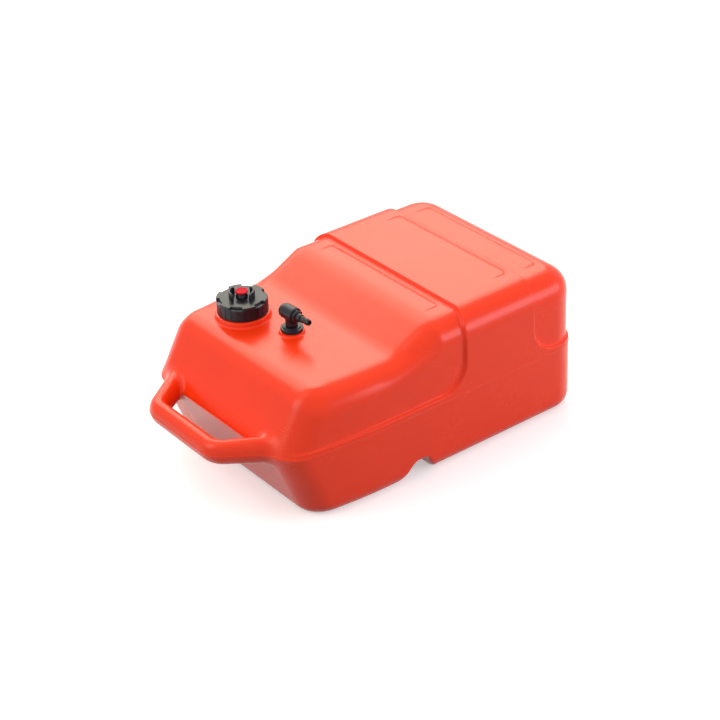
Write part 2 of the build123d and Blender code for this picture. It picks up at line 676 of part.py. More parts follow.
with BuildPart() as elbow_rings:
    for height in RING_LEVELS:
        with BuildSketch(upright(OUTLET_PLACE)):
            with Locations((RING_CENTRE_R, height)):
                Circle(RING_SECTION / 2)
        revolve(axis=axis_of(OUTLET_PLACE))

with BuildPart() as barb_seal:
    with BuildSketch(along(ELBOW_HEAD_FRONT)):
        Circle(BARB_SEAL_D / 2)
        Circle(BARB_THREAD_D / 2 + BARB_THREAD_GAP, mode=Mode.SUBTRACT)
    extrude(amount=BARB_SEAL_THICKNESS)

with BuildPart() as hose_barb:
    add(rod(BARB_THREAD_D, ELBOW_HEAD_FRONT - BARB_THREAD_LENGTH, SEAL_FACE))
    with BuildSketch(along(SEAL_FACE)):
        RegularPolygon(BARB_COLLAR_D / 2, 6, rotation=30)
    extrude(amount=BARB_COLLAR_LENGTH)
    add(rod(BARB_ROOT_D, BARB_START, BARB_START + BARB_ROOT_LENGTH))
    add(rod(BARB_SHANK_D, BARB_START, BARB_TIP - BARB_LAND))
    ridge_pitch = (BARB_LENGTH - BARB_ROOT_LENGTH) / BARB_RIDGES
    for ridge in range(BARB_RIDGES):
        crest = BARB_TIP - BARB_RAMP - ridge * ridge_pitch
        with BuildSketch(along(crest - BARB_LAND)):
            Circle(BARB_TIP_D / 2)
        extrude(amount=BARB_LAND)
        with BuildSketch(along(crest)):
            Circle(BARB_TIP_D / 2)
        with BuildSketch(along(crest + BARB_RAMP)):
            Circle(BARB_SHANK_D / 2)
        loft()
    add(rod(BARB_BORE, ELBOW_HEAD_FRONT - BARB_THREAD_LENGTH, BARB_TIP), mode=Mode.SUBTRACT)

# ================================================================ the pickup
with BuildPart() as pickup_tube:
    with BuildSketch(over(OUTLET_PLACE, TUBE_FOOT)):
        Circle(TUBE_OUTER_R)
        Circle(TUBE_INNER_R, mode=Mode.SUBTRACT)
    extrude(amount=TUBE_TOP - TUBE_FOOT)

with BuildPart() as strainer_cage:
    add(column(OUTLET_PLACE, STRAINER_D, STRAINER_FOOT, STRAINER_TOP))
    add(column(OUTLET_PLACE, 2 * CAGE_INNER_R, WINDOW_FOOT, WINDOW_TOP), mode=Mode.SUBTRACT)
    with BuildSketch(over(OUTLET_PLACE, WINDOW_FOOT)):
        add(slices(STRAINER_WINDOWS, 0, STRAINER_WINDOW_ANGLE, CAGE_INNER_R / 2, STRAINER_D))
    extrude(amount=WINDOW_TOP - WINDOW_FOOT, mode=Mode.SUBTRACT)
    add(column(OUTLET_PLACE, NIPPLE_D, STRAINER_TOP, STRAINER_PLUG_TOP))
    add(column(OUTLET_PLACE, NIPPLE_BORE, WINDOW_TOP, STRAINER_PLUG_TOP), mode=Mode.SUBTRACT)

with BuildPart() as strainer_screen:
    with BuildSketch(over(OUTLET_PLACE, WINDOW_FOOT)):
        Circle(CAGE_INNER_R - SCREEN_GAP)
        Circle(CAGE_INNER_R - SCREEN_GAP - SCREEN_WALL, mode=Mode.SUBTRACT)
    extrude(amount=WINDOW_TOP - WINDOW_FOOT)


# ================================================================ output
os.makedirs("parts", exist_ok=True)
finish(tank_shell.part, "tank_shell", RED)
finish(cap_shell.part, "cap_shell", BLACK)
finish(cap_liner.part, "cap_liner", NATURAL)
finish(cap_gasket.part, "cap_gasket", RUBBER)
finish(vent_screw.part, "vent_screw", BLACK)
finish(vent_knob.part, "vent_knob", RED)
finish(vent_seal.part, "vent_seal", RUBBER)
finish(vent_clip.part, "vent_clip", STEEL)
finish(outlet_gasket.part, "outlet_gasket", RUBBER)
finish(outlet_base.part, "outlet_base", BLACK)
finish(elbow.part, "elbow", BLACK)
finish(elbow_rings.part, "elbow_rings", RUBBER)
finish(barb_seal.part, "barb_seal", RUBBER)
finish(hose_barb.part, "hose_barb", BLACK)
finish(pickup_tube.part, "pickup_tube", NATURAL)
finish(strainer_cage.part, "strainer_cage", BLACK)
finish(strainer_screen.part, "strainer_screen", STEEL)

for part in (tank_shell.part, tank_form(WALL)):
    print(part.label or "hollow inside", round(part.volume / 1e6, 2), "litres")
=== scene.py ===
"""Looks for a portable outboard fuel tank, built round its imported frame.

The tank's skin is remodelled as one smooth hollow moulding, and the round fittings as
fine turned and moulded pieces.  Lengths inside the classes are millimetres; the mould's own
axes start at the body's front bottom edge, and every mesh ends in metres in the frame's axes.
"""

import logging
import math
from dataclasses import dataclass, field
from enum import Enum
from typing import Callable, Iterable, Sequence

import bmesh
import bpy
import numpy as np
from mathutils import Matrix, Vector

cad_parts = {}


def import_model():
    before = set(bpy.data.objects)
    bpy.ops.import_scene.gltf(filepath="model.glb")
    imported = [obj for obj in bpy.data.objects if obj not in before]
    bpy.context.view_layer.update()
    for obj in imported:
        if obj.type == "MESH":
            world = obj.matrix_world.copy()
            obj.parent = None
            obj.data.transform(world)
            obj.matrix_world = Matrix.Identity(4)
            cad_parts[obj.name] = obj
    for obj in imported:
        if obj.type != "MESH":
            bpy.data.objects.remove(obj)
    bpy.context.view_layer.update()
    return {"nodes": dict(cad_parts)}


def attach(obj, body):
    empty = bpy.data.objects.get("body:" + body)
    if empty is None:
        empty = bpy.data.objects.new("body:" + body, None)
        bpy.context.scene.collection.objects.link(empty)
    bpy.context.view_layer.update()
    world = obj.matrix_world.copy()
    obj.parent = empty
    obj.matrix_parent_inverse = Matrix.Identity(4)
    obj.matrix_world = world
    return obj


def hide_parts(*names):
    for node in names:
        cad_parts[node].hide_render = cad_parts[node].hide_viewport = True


LOG = logging.getLogger("fuel_tank")
MM = 0.001
MOULD_X = -184.25  # the body's front bottom edge in the frame, in millimetres
CRISP = 52.0  # edges that turn by more than this many degrees are shaded sharp

Field = Callable[[np.ndarray], np.ndarray]
Profile = Sequence[tuple[float, float]]


# ---------------------------------------------------------------- rounded unions and corners
def meet(a: np.ndarray, b: np.ndarray, radius: np.ndarray | float) -> np.ndarray:
    """Depth of what lies inside both forms, with their shared edge rounded.

    Args:
        a: Depths in the first form, negative inside.
        b: Depths in the second form.
        radius: Size of the rounding.

    Returns:
        The joint depths.
    """
    rounded = np.hypot(np.maximum(a + radius, 0), np.maximum(b + radius, 0))
    return np.minimum(-radius, np.maximum(a, b)) + rounded


def join(a: np.ndarray, b: np.ndarray, radius: np.ndarray | float) -> np.ndarray:
    """Depth of what lies inside either form, with their crease filleted.

    Args:
        a: Depths in the first form, negative inside.
        b: Depths in the second form.
        radius: Size of the fillet.

    Returns:
        The joint depths.
    """
    filleted = np.hypot(np.maximum(radius - a, 0), np.maximum(radius - b, 0))
    return np.maximum(radius, np.minimum(a, b)) - filleted


def ease(value: np.ndarray) -> np.ndarray:
    """A smooth rise from 0 to 1 as the value goes from 0 to 1."""
    t = np.clip(value, 0.0, 1.0)
    return t * t * (3 - 2 * t)


def slope_of(depth: Field, p: np.ndarray) -> np.ndarray:
    """The outward direction of steepest change of a form's depth at each position."""
    columns = []
    for step in np.eye(3) * 0.02:
        columns.append((depth(p + step) - depth(p - step)) / 0.04)
    return np.stack(columns, axis=1)


def settle(p: np.ndarray, depth: Field, inset: float = 0.0, longest: float = 9.0) -> np.ndarray:
    """Brings positions onto a form's skin along its own slope.

    Args:
        p: Positions near the skin, one a row.
        depth: The form's depth at each position, negative inside.
        inset: How far inside the skin they end.
        longest: The longest move in one round.

    Returns:
        The settled positions.
    """
    for _ in range(14):
        slope = slope_of(depth, p)
        steep = np.maximum((slope * slope).sum(axis=1), 0.25)
        shift = np.clip((depth(p) + inset) / steep, -longest, longest)
        p = p - shift[:, None] * slope
    return p


# ---------------------------------------------------------------- mesh helpers
def places(verts: Iterable[bmesh.types.BMVert]) -> np.ndarray:
    """The vertices' positions as an array of rows."""
    return np.array([tuple(v.co) for v in verts]).reshape(-1, 3)


def put(verts: Iterable[bmesh.types.BMVert], positions: np.ndarray) -> None:
    """Moves each vertex to its row of the array."""
    for vert, position in zip(verts, positions):
        vert.co = position


def set_steps(bm: bmesh.types.BMesh, steps: np.ndarray) -> None:
    """Keeps with each vertex how far the skin is stepped in there."""
    layer = bm.verts.layers.float.get("step") or bm.verts.layers.float.new("step")
    for vert, step in zip(bm.verts, steps):
        vert[layer] = step


def steps_of(bm: bmesh.types.BMesh) -> np.ndarray:
    """How far the skin is stepped in at each vertex."""
    layer = bm.verts.layers.float["step"]
    return np.array([vert[layer] for vert in bm.verts])


def slice_mesh(bm: bmesh.types.BMesh, axis: int, levels: Iterable[float]) -> None:
    """Cuts the whole mesh by planes across one axis.

    Args:
        bm: The mesh.
        axis: 0, 1 or 2 for X, Y or Z.
        levels: Where the planes stand on that axis.
    """
    normal = [0.0, 0.0, 0.0]
    normal[axis] = 1.0
    for level in levels:
        origin = [0.0, 0.0, 0.0]
        origin[axis] = level
        geometry = bm.verts[:] + bm.edges[:] + bm.faces[:]
        bmesh.ops.bisect_plane(bm, geom=geometry, dist=1e-4, plane_co=origin, plane_no=normal)


def score(bm: bmesh.types.BMesh, pattern: Field, level: float, region: Field | None = None) -> None:
    """Cuts the skin along the curve where a pattern has a level, so that edges run along it.

    Args:
        bm: The mesh.
        pattern: The pattern's value at each position.
        level: The value to cut along.
        region: Positive where the cut is wanted; everywhere if left out.
    """
    verts = bm.verts[:]
    for index, vert in enumerate(verts):
        vert.index = index
    spots = places(verts)
    heights = pattern(spots) - level
    wanted = np.ones(len(spots), bool) if region is None else region(spots) > 0
    shifted = [pattern(spots + step) - level - heights for step in np.eye(3) * 0.05]
    slope = np.stack(shifted, axis=1) / 0.05
    steepness = np.maximum((slope * slope).sum(axis=1), 1e-6)
    near = wanted & (np.abs(heights) / np.sqrt(steepness) < 0.16)
    spots[near] -= (heights[near] / steepness[near])[:, None] * slope[near]
    for index in np.flatnonzero(near):
        verts[index].co = spots[index]
    heights[near] = 0.0
    cut = [verts[index] for index in np.flatnonzero(near)]
    for edge in bm.edges[:]:
        first, second = edge.verts
        a, b = heights[first.index], heights[second.index]
        if a * b < 0 and wanted[first.index] and wanted[second.index]:
            cut.append(bmesh.utils.edge_split(edge, first, a / (a - b))[1])
    bmesh.ops.connect_verts(bm, verts=cut)


def rim_loop(bm: bmesh.types.BMesh, chosen: Callable[[Vector], bool]) -> list[bmesh.types.BMVert]:
    """The vertices of one open rim in order.

    Args:
        bm: The mesh.
        chosen: Says whether a position lies on the wanted rim.

    Returns:
        The rim's vertices, each joined to the next and the last to the first.
    """
    edges = {e for e in bm.edges if e.is_boundary and all(chosen(v.co) for v in e.verts)}
    start = next(iter(edges))
    loop = [start.verts[0], start.verts[1]]
    edges.remove(start)
    while True:
        onward = [e for e in loop[-1].link_edges if e in edges]
        if not onward:
            break
        edges.remove(onward[0])
        loop.append(onward[0].other_vert(loop[-1]))
    return loop[:-1] if loop[-1] is loop[0] else loop


def grow(bm: bmesh.types.BMesh, loop: list[bmesh.types.BMVert]) -> list[bmesh.types.BMVert]:
    """Extrudes a closed rim by one ring of faces.

    Args:
        bm: The mesh.
        loop: The rim's vertices in order.

    Returns:
        The new rim's vertices, in the same order.
    """
    count = len(loop)
    edges = [bm.edges.get((loop[i], loop[(i + 1) % count])) for i in range(count)]
    grown = bmesh.ops.extrude_edge_only(bm, edges=edges)["geom"]
    fresh = {item for item in grown if isinstance(item, bmesh.types.BMVert)}
    return [next(e.other_vert(v) for e in v.link_edges if e.other_vert(v) in fresh) for v in loop]


def to_frame(bm: bmesh.types.BMesh, from_mould: bool = True) -> None:
    """Turns millimetres in the mould's axes into metres in the frame's."""
    if from_mould:
        bmesh.ops.translate(bm, verts=bm.verts, vec=(MOULD_X, 0, 0))
    bmesh.ops.scale(bm, verts=bm.verts, vec=(MM, MM, MM))


def piece(bm: bmesh.types.BMesh, name: str) -> bpy.types.Object:
    """Makes the finished object of a mesh, smooth-shaded and facing outwards.

    Args:
        bm: The mesh in metres; it is freed.
        name: The new object's name.

    Returns:
        The object, linked to the scene.
    """
    bmesh.ops.recalc_face_normals(bm, faces=bm.faces)
    for face in bm.faces:
        face.smooth = True
    mesh = bpy.data.meshes.new(name)
    bm.to_mesh(mesh)
    bm.free()
    mesh.set_sharp_from_angle(angle=math.radians(CRISP))
    made = bpy.data.objects.new(name, mesh)
    bpy.context.scene.collection.objects.link(made)
    triangles = sum(len(p.vertices) - 2 for p in mesh.polygons)
    LOG.info("%s: %d triangles", name, triangles)
    return made


# ---------------------------------------------------------------- the body's form
@dataclass
class TankForm:
    """The moulded body's outer form, as depths below its skin in the mould's axes."""

    length: float = 470.5
    half_width: float = 174.5
    height: float = 221.0
    deck: float = 190.0
    step: float = 5.0
    parting: float = 103.0
    overhang: float = 39.0
    front_lean: float = 47.0 / 82.0
    ramp_start: float = 156.0
    ramp_end: float = 216.0
    taper_start: float = 130.0
    parting_taper: float = 15.0
    foot_taper: float = 11.0
    rear_corner: float = 45.0
    front_corner: float = 34.0
    top_edge: float = 37.0
    foot_edge: float = 20.0
    ledge: float = 111.0
    band_front: tuple[float, float] = (257.0, 267.0)
    band_rear: tuple[float, float] = (382.0, 390.0)
    band_lean: tuple[float, float] = (195.0, 221.0)
    band_corner: float = 41.0
    channel_foot: tuple[float, float] = (137.0, 201.0)
    channel_crown: tuple[float, float] = (166.0, 186.0)
    channel_depth: float = 28.0
    channel_lip: float = 4.0
    bar_x: float = -89.0
    bend_y: float = 70.0
    splay: float = 0.675
    bend: float = 26.0
    bar_half: tuple[float, float] = (13.0, 17.0)
    arm_swell: float = 1.6
    root_fillet: float = 9.0

    def walls(self, p: np.ndarray, sunk: np.ndarray) -> tuple[np.ndarray, np.ndarray]:
        """Depth below the upright walls.

        Args:
            p: Positions, one a row.
            sunk: How far the skin is stepped in at each.

        Returns:
            The depths, and the share of the front wall in each, from 0 to 1.
        """
        x, y, z = p[:, 0], np.abs(p[:, 1]), p[:, 2]
        low = np.clip(z, 0, self.parting) / self.parting
        lean = self.front_lean * np.maximum(z - self.parting, 0)
        front_x = lean - self.overhang * low
        taper = self.foot_taper + (self.parting_taper - self.foot_taper) * low - sunk
        sweep = ((self.taper_start - front_x) ** 2 + taper**2) / (2 * taper)
        run = np.minimum(np.maximum(self.taper_start - x, 0), 0.9 * sweep)
        closing = sweep - np.sqrt(sweep**2 - run**2)
        side = (y - (self.half_width - sunk - closing)) * np.sqrt(1 - (run / sweep) ** 2)
        under = (-self.overhang * z / self.parting - x) * self.parting
        under = under / math.hypot(self.parting, self.overhang)
        over = self.front_lean * (z - self.parting) - self.overhang - x
        over = over / math.hypot(1, self.front_lean)
        front = meet(under, over, 2.2)
        front_pull = np.maximum(front + self.front_corner, 0) ** 2
        side_pull = np.maximum(side + self.front_corner, 0) ** 2
        share = np.where(
            front_pull + side_pull > 0,
            front_pull / np.maximum(front_pull + side_pull, 1e-9),
            front > side,
        )
        wall = meet(front, side, self.front_corner)
        return meet(wall, x - self.length, self.rear_corner), share

    def crown(self, x: np.ndarray, z: np.ndarray, sunk: np.ndarray) -> np.ndarray:
        """Depth below the deck, the ramp and the top."""
        rise = (self.height - self.deck) / (self.ramp_end - self.ramp_start)
        deck = z - self.deck + sunk
        ramp = (deck - (x - self.ramp_start) * rise) / math.hypot(1, rise)
        top = z - self.height + sunk
        return meet(top, join(deck, ramp, 3.9), 6.7)

    def channel(self, x: np.ndarray, z: np.ndarray) -> np.ndarray:
        """Depth inside the strap channel's space, negative within it."""
        near, far = self.channel_foot
        near_top, far_top = self.channel_crown
        tall = self.channel_depth
        front = (z * (near_top - near) - (x - near) * tall) / math.hypot(near_top - near, tall)
        rear = ((x - far) * tall + z * (far - far_top)) / math.hypot(far - far_top, tall)
        return meet(meet(front, z - tall, 2.5), rear, 4.7)

    def bar_path(self, p: np.ndarray) -> np.ndarray:
        """Distance in plan from the handle's centre line."""
        x, y = p[:, 0], np.abs(p[:, 1])
        length = math.hypot(1, self.splay)
        arm_normal = np.array([self.splay, -1.0]) / length
        arm = (x - self.bar_x) * arm_normal[0] + (y - self.bend_y) * arm_normal[1]
        bar = x - self.bar_x
        half_turn = math.acos(arm_normal[0]) / 2
        reach = self.bend / math.cos(half_turn)
        middle = np.array([1.0, 0.0]) + arm_normal
        middle = middle / np.linalg.norm(middle) * reach
        cx, cy = x - self.bar_x - middle[0], y - self.bend_y - middle[1]
        bend = self.bend - np.hypot(cx, cy)
        on_bar = cy < 0
        along_arm = cx * arm_normal[1] - cy * arm_normal[0]
        on_arm = ~on_bar & (along_arm < 0)
        return np.where(on_bar, bar, np.where(on_arm, arm, bend))

    def handle(self, p: np.ndarray) -> np.ndarray:
        """Depth below the carry handle's skin."""
        swell = self.arm_swell * ease((p[:, 0] + 84) / 40)
        wide = self.bar_half[0] + swell
        tall = self.bar_half[1] + swell
        across, up = self.bar_path(p), p[:, 2] - self.parting
        shape = np.hypot(across / wide, up / tall)
        pull = np.hypot(across / wide**2, up / tall**2)
        depth = shape * (shape - 1) / np.maximum(pull, 1e-6)
        return np.where(p[:, 0] > 10, 60.0, depth)

    def depth(self, p: np.ndarray, sunk: np.ndarray, with_handle: bool = True) -> np.ndarray:
        """Depth below the whole skin, negative inside.

        Args:
            p: Positions, one a row.
            sunk: How far the skin is stepped in at each.
            with_handle: Whether the carry handle is part of the form.

        Returns:
            The depths.
        """
        x, z = p[:, 0], p[:, 2]
        wall, share = self.walls(p, sunk)
        top_edge = (self.top_edge - sunk / 2) * (1 - 0.497 * share)
        body = meet(wall, self.crown(x, z, sunk), top_edge)
        body = meet(body, -z, self.foot_edge * (1 - 0.354 * share))
        body = meet(body, -self.channel(x, z), self.channel_lip)
        return join(body, self.handle(p), self.root_fillet) if with_handle else body

    def band(self, p: np.ndarray) -> np.ndarray:
        """Distance from the edge of what stands proud, negative on the proud side."""
        x, z = p[:, 0], p[:, 2]
        low, high = self.band_lean
        lean = np.clip((z - low) / (high - low), 0, 1)
        lean = lean * lean * (1.6 - 0.6 * lean)
        front = self.band_front[0] + (self.band_front[1] - self.band_front[0]) * lean
        rear = self.band_rear[0] + (self.band_rear[1] - self.band_rear[0]) * lean
        return join(z - self.ledge, np.maximum(front - x, x - rear), self.band_corner)

    def outline(self) -> list[tuple[float, float]]:
        """Corners of the body's blocked-out side view, in X and Z."""
        half = self.step / 2
        near, far = self.channel_foot
        near_top, far_top = self.channel_crown
        deck = self.deck - half
        deck_front = self.front_lean * (deck - self.parting) - self.overhang
        return [
            (0, 0),
            (near, 0),
            (near_top, self.channel_depth),
            (far_top, self.channel_depth),
            (far, 0),
            (self.length, 0),
            (self.length, self.height - half),
            (self.ramp_end, self.height - half),
            (self.ramp_start, deck),
            (deck_front, deck),
            (-self.overhang, self.parting),
        ]


@dataclass
class MouldLine:
    """A shallow line across the top with a return towards the front at each end."""

    x: float
    half_span: float = 118.0
    back: float = 29.0
    depth: float = 0.6
    half_width: float = 0.45
    shoulder: float = 1.2

    def field(self, p: np.ndarray) -> np.ndarray:
        """Distance across the line, negative inside its corner."""
        return meet(p[:, 0] - self.x, np.abs(p[:, 1]) - self.half_span, 5.0)

    def region(self, p: np.ndarray) -> np.ndarray:
        """Positive close to the line, on the upper side of the body."""
        near = (np.abs(self.field(p)) < 9) & (p[:, 0] > self.x - self.back - 6) & (p[:, 2] > 190)
        return np.where(near, 1.0, -1.0)

    def relief(self, p: np.ndarray) -> np.ndarray:
        """Height of the skin over its plain form, negative in the line."""
        across = (self.shoulder - np.abs(self.field(p))) / (self.shoulder - self.half_width)
        fade = ease((p[:, 0] - self.x + self.back) / 16) * (p[:, 2] > 190)
        return -self.depth * ease(across) * fade


# ---------------------------------------------------------------- turned shapes
def turned(
    bm: bmesh.types.BMesh,
    profile: Profile,
    steps: int = 96,
    sweep: float = 360.0,
    rise: float = 0.0,
    closed: bool = True,
) -> list[bmesh.types.BMVert]:
    """Spins a profile round the Z axis.

    Args:
        bm: The mesh it is added to.
        profile: Radius and height of each corner, in order.
        steps: Faces round the turn.
        sweep: Degrees of the turn.
        rise: Height gained over the whole turn.
        closed: Whether the profile closes on itself.

    Returns:
        The new vertices.
    """
    before = set(bm.verts)
    line = [bm.verts.new((radius, 0, height)) for radius, height in profile]
    pairs = list(zip(line, line[1:])) + ([(line[-1], line[0])] if closed else [])
    edges = [bm.edges.new(pair) for pair in pairs]
    full = abs(sweep) >= 360 and rise == 0
    geometry = list(edges)
    ends = []
    if not full and closed:
        ends = [bm.faces.new(line)]
        geometry += ends
    bmesh.ops.spin(
        bm,
        geom=geometry,
        cent=(0, 0, 0),
        axis=(0, 0, 1),
        dvec=(0, 0, rise / steps),
        angle=math.radians(sweep),
        steps=steps,
        use_merge=full,
        use_duplicate=False,
    )
    fresh = [v for v in bm.verts if v not in before]
    bmesh.ops.remove_doubles(bm, verts=fresh, dist=1e-4)
    return [v for v in bm.verts if v.is_valid and v not in before]


def softened(profile: Profile, radius: float, keep: Sequence[int] = ()) -> list[tuple[float, float]]:
    """Rounds the corners of a closed profile with a three-point arc each.

    Args:
        profile: The corners.
        radius: How far from each corner the rounding starts.
        keep: Corners that stay sharp.

    Returns:
        The profile with its corners rounded.
    """
    rounded: list[tuple[float, float]] = []
    count = len(profile)
    for index, corner in enumerate(profile):
        here = np.array(corner)
        before = np.array(profile[index - 1]) - here
        after = np.array(profile[(index + 1) % count]) - here
        room = min(np.linalg.norm(before), np.linalg.norm(after)) * 0.45
        reach = min(radius, room)
        on_axis = abs(corner[0]) < 1e-6
        if index in keep or on_axis or reach < 0.02:
            rounded.append(tuple(here))
            continue
        start = here + before / np.linalg.norm(before) * reach
        end = here + after / np.linalg.norm(after) * reach
        for t in (0.0, 0.3, 0.7, 1.0):
            bent = (1 - t) ** 2 * start + 2 * t * (1 - t) * here + t * t * end
            rounded.append((float(bent[0]), float(bent[1])))
    return rounded


def upright_edges(bm: bmesh.types.BMesh, least: float) -> list[bmesh.types.BMEdge]:
    """The edges whose two faces meet at more than this many degrees."""
    limit = math.radians(least)
    return [e for e in bm.edges if len(e.link_faces) == 2 and e.calc_face_angle(0) > limit]


def ease_edges(bm: bmesh.types.BMesh, offset: float, segments: int = 2, least: float = 40.0) -> None:
    """Bevels every crisp edge of a mesh.

    Args:
        bm: The mesh.
        offset: Width of the bevel, in the mesh's own unit.
        segments: Faces across it.
        least: Edges that turn by less than this many degrees are left.
    """
    bmesh.ops.recalc_face_normals(bm, faces=bm.faces)
    bmesh.ops.bevel(
        bm,
        geom=upright_edges(bm, least),
        offset=offset,
        offset_type="OFFSET",
        affect="EDGES",
        segments=segments,
        profile=0.5,
        material=-1,
        clamp_overlap=True,
    )


def stand(bm: bmesh.types.BMesh, verts: Iterable[bmesh.types.BMVert], place: Matrix) -> None:
    """Moves vertices from their own axes to a place in the mould's axes."""
    bmesh.ops.transform(bm, matrix=place, verts=list(verts))


def over(x: float, y: float, height: float = 0.0) -> Matrix:
    """A place on the deck, for shapes that were spun round the Z axis."""
    return Matrix.Translation((x, y, height))


def rim_edges(
    verts: Iterable[bmesh.types.BMVert],
    place: tuple[float, float],
    radius: float,
    height: float,
    slack: float = 0.3,
) -> list[bmesh.types.BMEdge]:
    """The open edges that lie on one level circle.

    Args:
        verts: The vertices searched.
        place: The circle's axis.
        radius: Its radius.
        height: Its level.
        slack: How far from the circle a rim of long edges may cut its corners.

    Returns:
        The edges round the circle.
    """
    ring = set()
    for vert in verts:
        flat = math.hypot(vert.co.x - place[0], vert.co.y - place[1])
        if abs(flat - radius) < slack and abs(vert.co.z - height) < 0.4:
            ring.add(vert)
    around = {e for v in ring for e in v.link_edges if e.is_boundary and e.other_vert(v) in ring}
    return list(around)


# ---------------------------------------------------------------- the tank shell
@dataclass
class TankShell:
    """The hollow moulded body with its handle, filler neck and outlet boss."""

    form: TankForm = field(default_factory=TankForm)
    cell: float = 4.3
    inner_cell: float = 12.0
    wall: float = 4.0
    step_half_width: float = 1.8
    step_cuts: tuple[float, ...] = (-3.2, -1.8, -1.1, -0.5, 0.0, 0.5, 1.1, 1.8, 3.2)
    bead_height: float = 0.5
    bead_cuts: tuple[float, ...] = (-1.7, -0.8, 0.0, 0.8, 1.7)
    root_opening: tuple[float, float] = (24.5, 29.0)
    root_reach: float = 16.0
    cap_place: tuple[float, float] = (71.0, 83.0)
    outlet_place: tuple[float, float] = (94.0, 0.0)
    deck_z: float = 185.0
    lines: tuple[MouldLine, ...] = (MouldLine(256.0), MouldLine(379.0), MouldLine(434.0))
    neck: Profile = (
        (40.6, 185.06), (39.5, 185.5), (38.8, 186.4), (38.5, 187.8), (38.5, 191.9), (38.2, 192.6),
        (37.4, 193.0), (30.0, 193.0), (28.9, 193.3), (28.5, 194.2), (28.5, 207.9), (28.1, 208.7),
        (27.2, 209.0), (26.2, 209.0), (25.3, 208.7), (25.0, 207.9), (25.0, 190.0), (25.0, 183.0),
    )  # fmt: skip
    boss: Profile = (
        (18.6, 185.08), (17.6, 185.6), (17.15, 186.3), (17.0, 187.2), (16.8, 188.3),
        (16.4, 188.5), (11.4, 188.5), (10.95, 188.1), (10.95, 173.4), (11.3, 173.0),
        (16.5, 173.0), (17.0, 173.5), (17.0, 180.0),
    )  # fmt: skip
    thread: Profile = ((28.2, -0.9), (28.2, 0.9), (30.0, 0.45), (30.0, -0.45))
    thread_start: float = 197.5
    thread_turns: int = 2
    thread_pitch: float = 5.0

    def half_block(self, cell: float) -> bmesh.types.BMesh:
        """One half of the blocked-out body, cut into cells and open at the middle plane.

        Args:
            cell: Size of a cell.

        Returns:
            The mesh, with Y from 0 to the side.
        """
        half = self.form.step / 2
        bm = bmesh.new()
        corners = [bm.verts.new((x, 0, z)) for x, z in self.form.outline()]
        grown = bmesh.ops.extrude_face_region(bm, geom=[bm.faces.new(corners)])["geom"]
        side = [item for item in grown if isinstance(item, bmesh.types.BMVert)]
        bmesh.ops.translate(bm, verts=side, vec=(0, self.form.half_width, 0))
        slice_mesh(bm, 0, np.arange(cell / 2 - self.form.overhang, self.form.length, cell))
        slice_mesh(bm, 2, np.arange(cell / 2, self.form.height - half, cell))
        slice_mesh(bm, 1, np.arange(cell, self.form.half_width - cell / 2, cell))
        middle = [f for f in bm.faces if all(abs(v.co.y) < 1e-6 for v in f.verts)]
        bmesh.ops.delete(bm, geom=middle, context="FACES_ONLY")
        loose = [e for e in bm.edges if not e.link_faces]
        bmesh.ops.delete(bm, geom=loose, context="EDGES")
        bmesh.ops.remove_doubles(bm, verts=bm.verts, dist=cell / 3)
        return bm

    def press(self, bm: bmesh.types.BMesh, inset: float = 0.0, handle: bool = False) -> None:
        """Settles the whole half onto the form, keeping its middle plane flat.

        Args:
            bm: The mesh, with its vertices' own steps set.
            inset: How far inside the skin it ends.
            handle: Whether the carry handle is part of the form.
        """
        verts = bm.verts[:]
        start = places(verts)
        sunk = steps_of(bm)
        ended = settle(start, lambda p: self.form.depth(p, sunk, handle), inset)
        ended[:, 1] = np.where(start[:, 1] < 1e-6, 0.0, np.maximum(ended[:, 1], 0.0))
        put(verts, ended)

    def relax(self, bm: bmesh.types.BMesh, chosen: Field, rounds: int) -> None:
        """Evens out the cells where the block was far from the form.

        Args:
            bm: The mesh, with the skin stepped in by half a step all over.
            chosen: Positive where the cells are evened out.
            rounds: How often each vertex moves to the middle of its neighbours.
        """
        verts = [v for v, near in zip(bm.verts, chosen(places(bm.verts)) > 0) if near]
        spots = places(verts)
        free = (spots[:, 1] > 1e-6) & ((np.abs(spots[:, 0] - 169) > 62) | (spots[:, 2] > 48))
        verts = [v for v, moves in zip(verts, free) if moves]
        sunk = np.where(places(verts)[:, 2] > self.form.ledge - 12, self.form.step / 2, 0.0)
        for _ in range(rounds):
            bmesh.ops.smooth_vert(
                bm, verts=verts, factor=0.5, use_axis_x=True, use_axis_y=True, use_axis_z=True
            )
            put(verts, settle(places(verts), lambda p: self.form.depth(p, sunk, False)))

    def from_channel(self, p: np.ndarray) -> np.ndarray:
        """Distance from the strap channel's space."""
        return self.form.channel(p[:, 0], p[:, 2])

    def by_channel(self, p: np.ndarray) -> np.ndarray:
        """Positive on the side wall close to the channel's mouth."""
        return np.minimum(10 - np.abs(self.from_channel(p)), p[:, 1] - 150)

    def in_channel(self, p: np.ndarray) -> np.ndarray:
        """Positive on the channel's own walls."""
        return np.minimum(1.0 - np.abs(self.from_channel(p)), 34 - p[:, 2])

    def sunk_at(self, p: np.ndarray) -> np.ndarray:
        """How far the skin is stepped in: nothing on the band and below the ledge."""
        width = self.step_half_width
        return self.form.step * ease((self.form.band(p) + width) / (2 * width))

    def root_field(self, p: np.ndarray) -> np.ndarray:
        """1 on the oval opening that the handle's arm grows from, less inside it."""
        across, up = self.root_axes(p)
        return np.hypot(across / self.root_opening[0], up / self.root_opening[1])

    def root_axes(self, p: np.ndarray) -> tuple[np.ndarray, np.ndarray]:
        """Distances from the arm's straight axis, towards the slot and upwards."""
        form = self.form
        across = (p[:, 0] - form.bar_x) * form.splay - (p[:, 1] - form.bend_y)
        return across / math.hypot(1, form.splay), p[:, 2] - form.parting

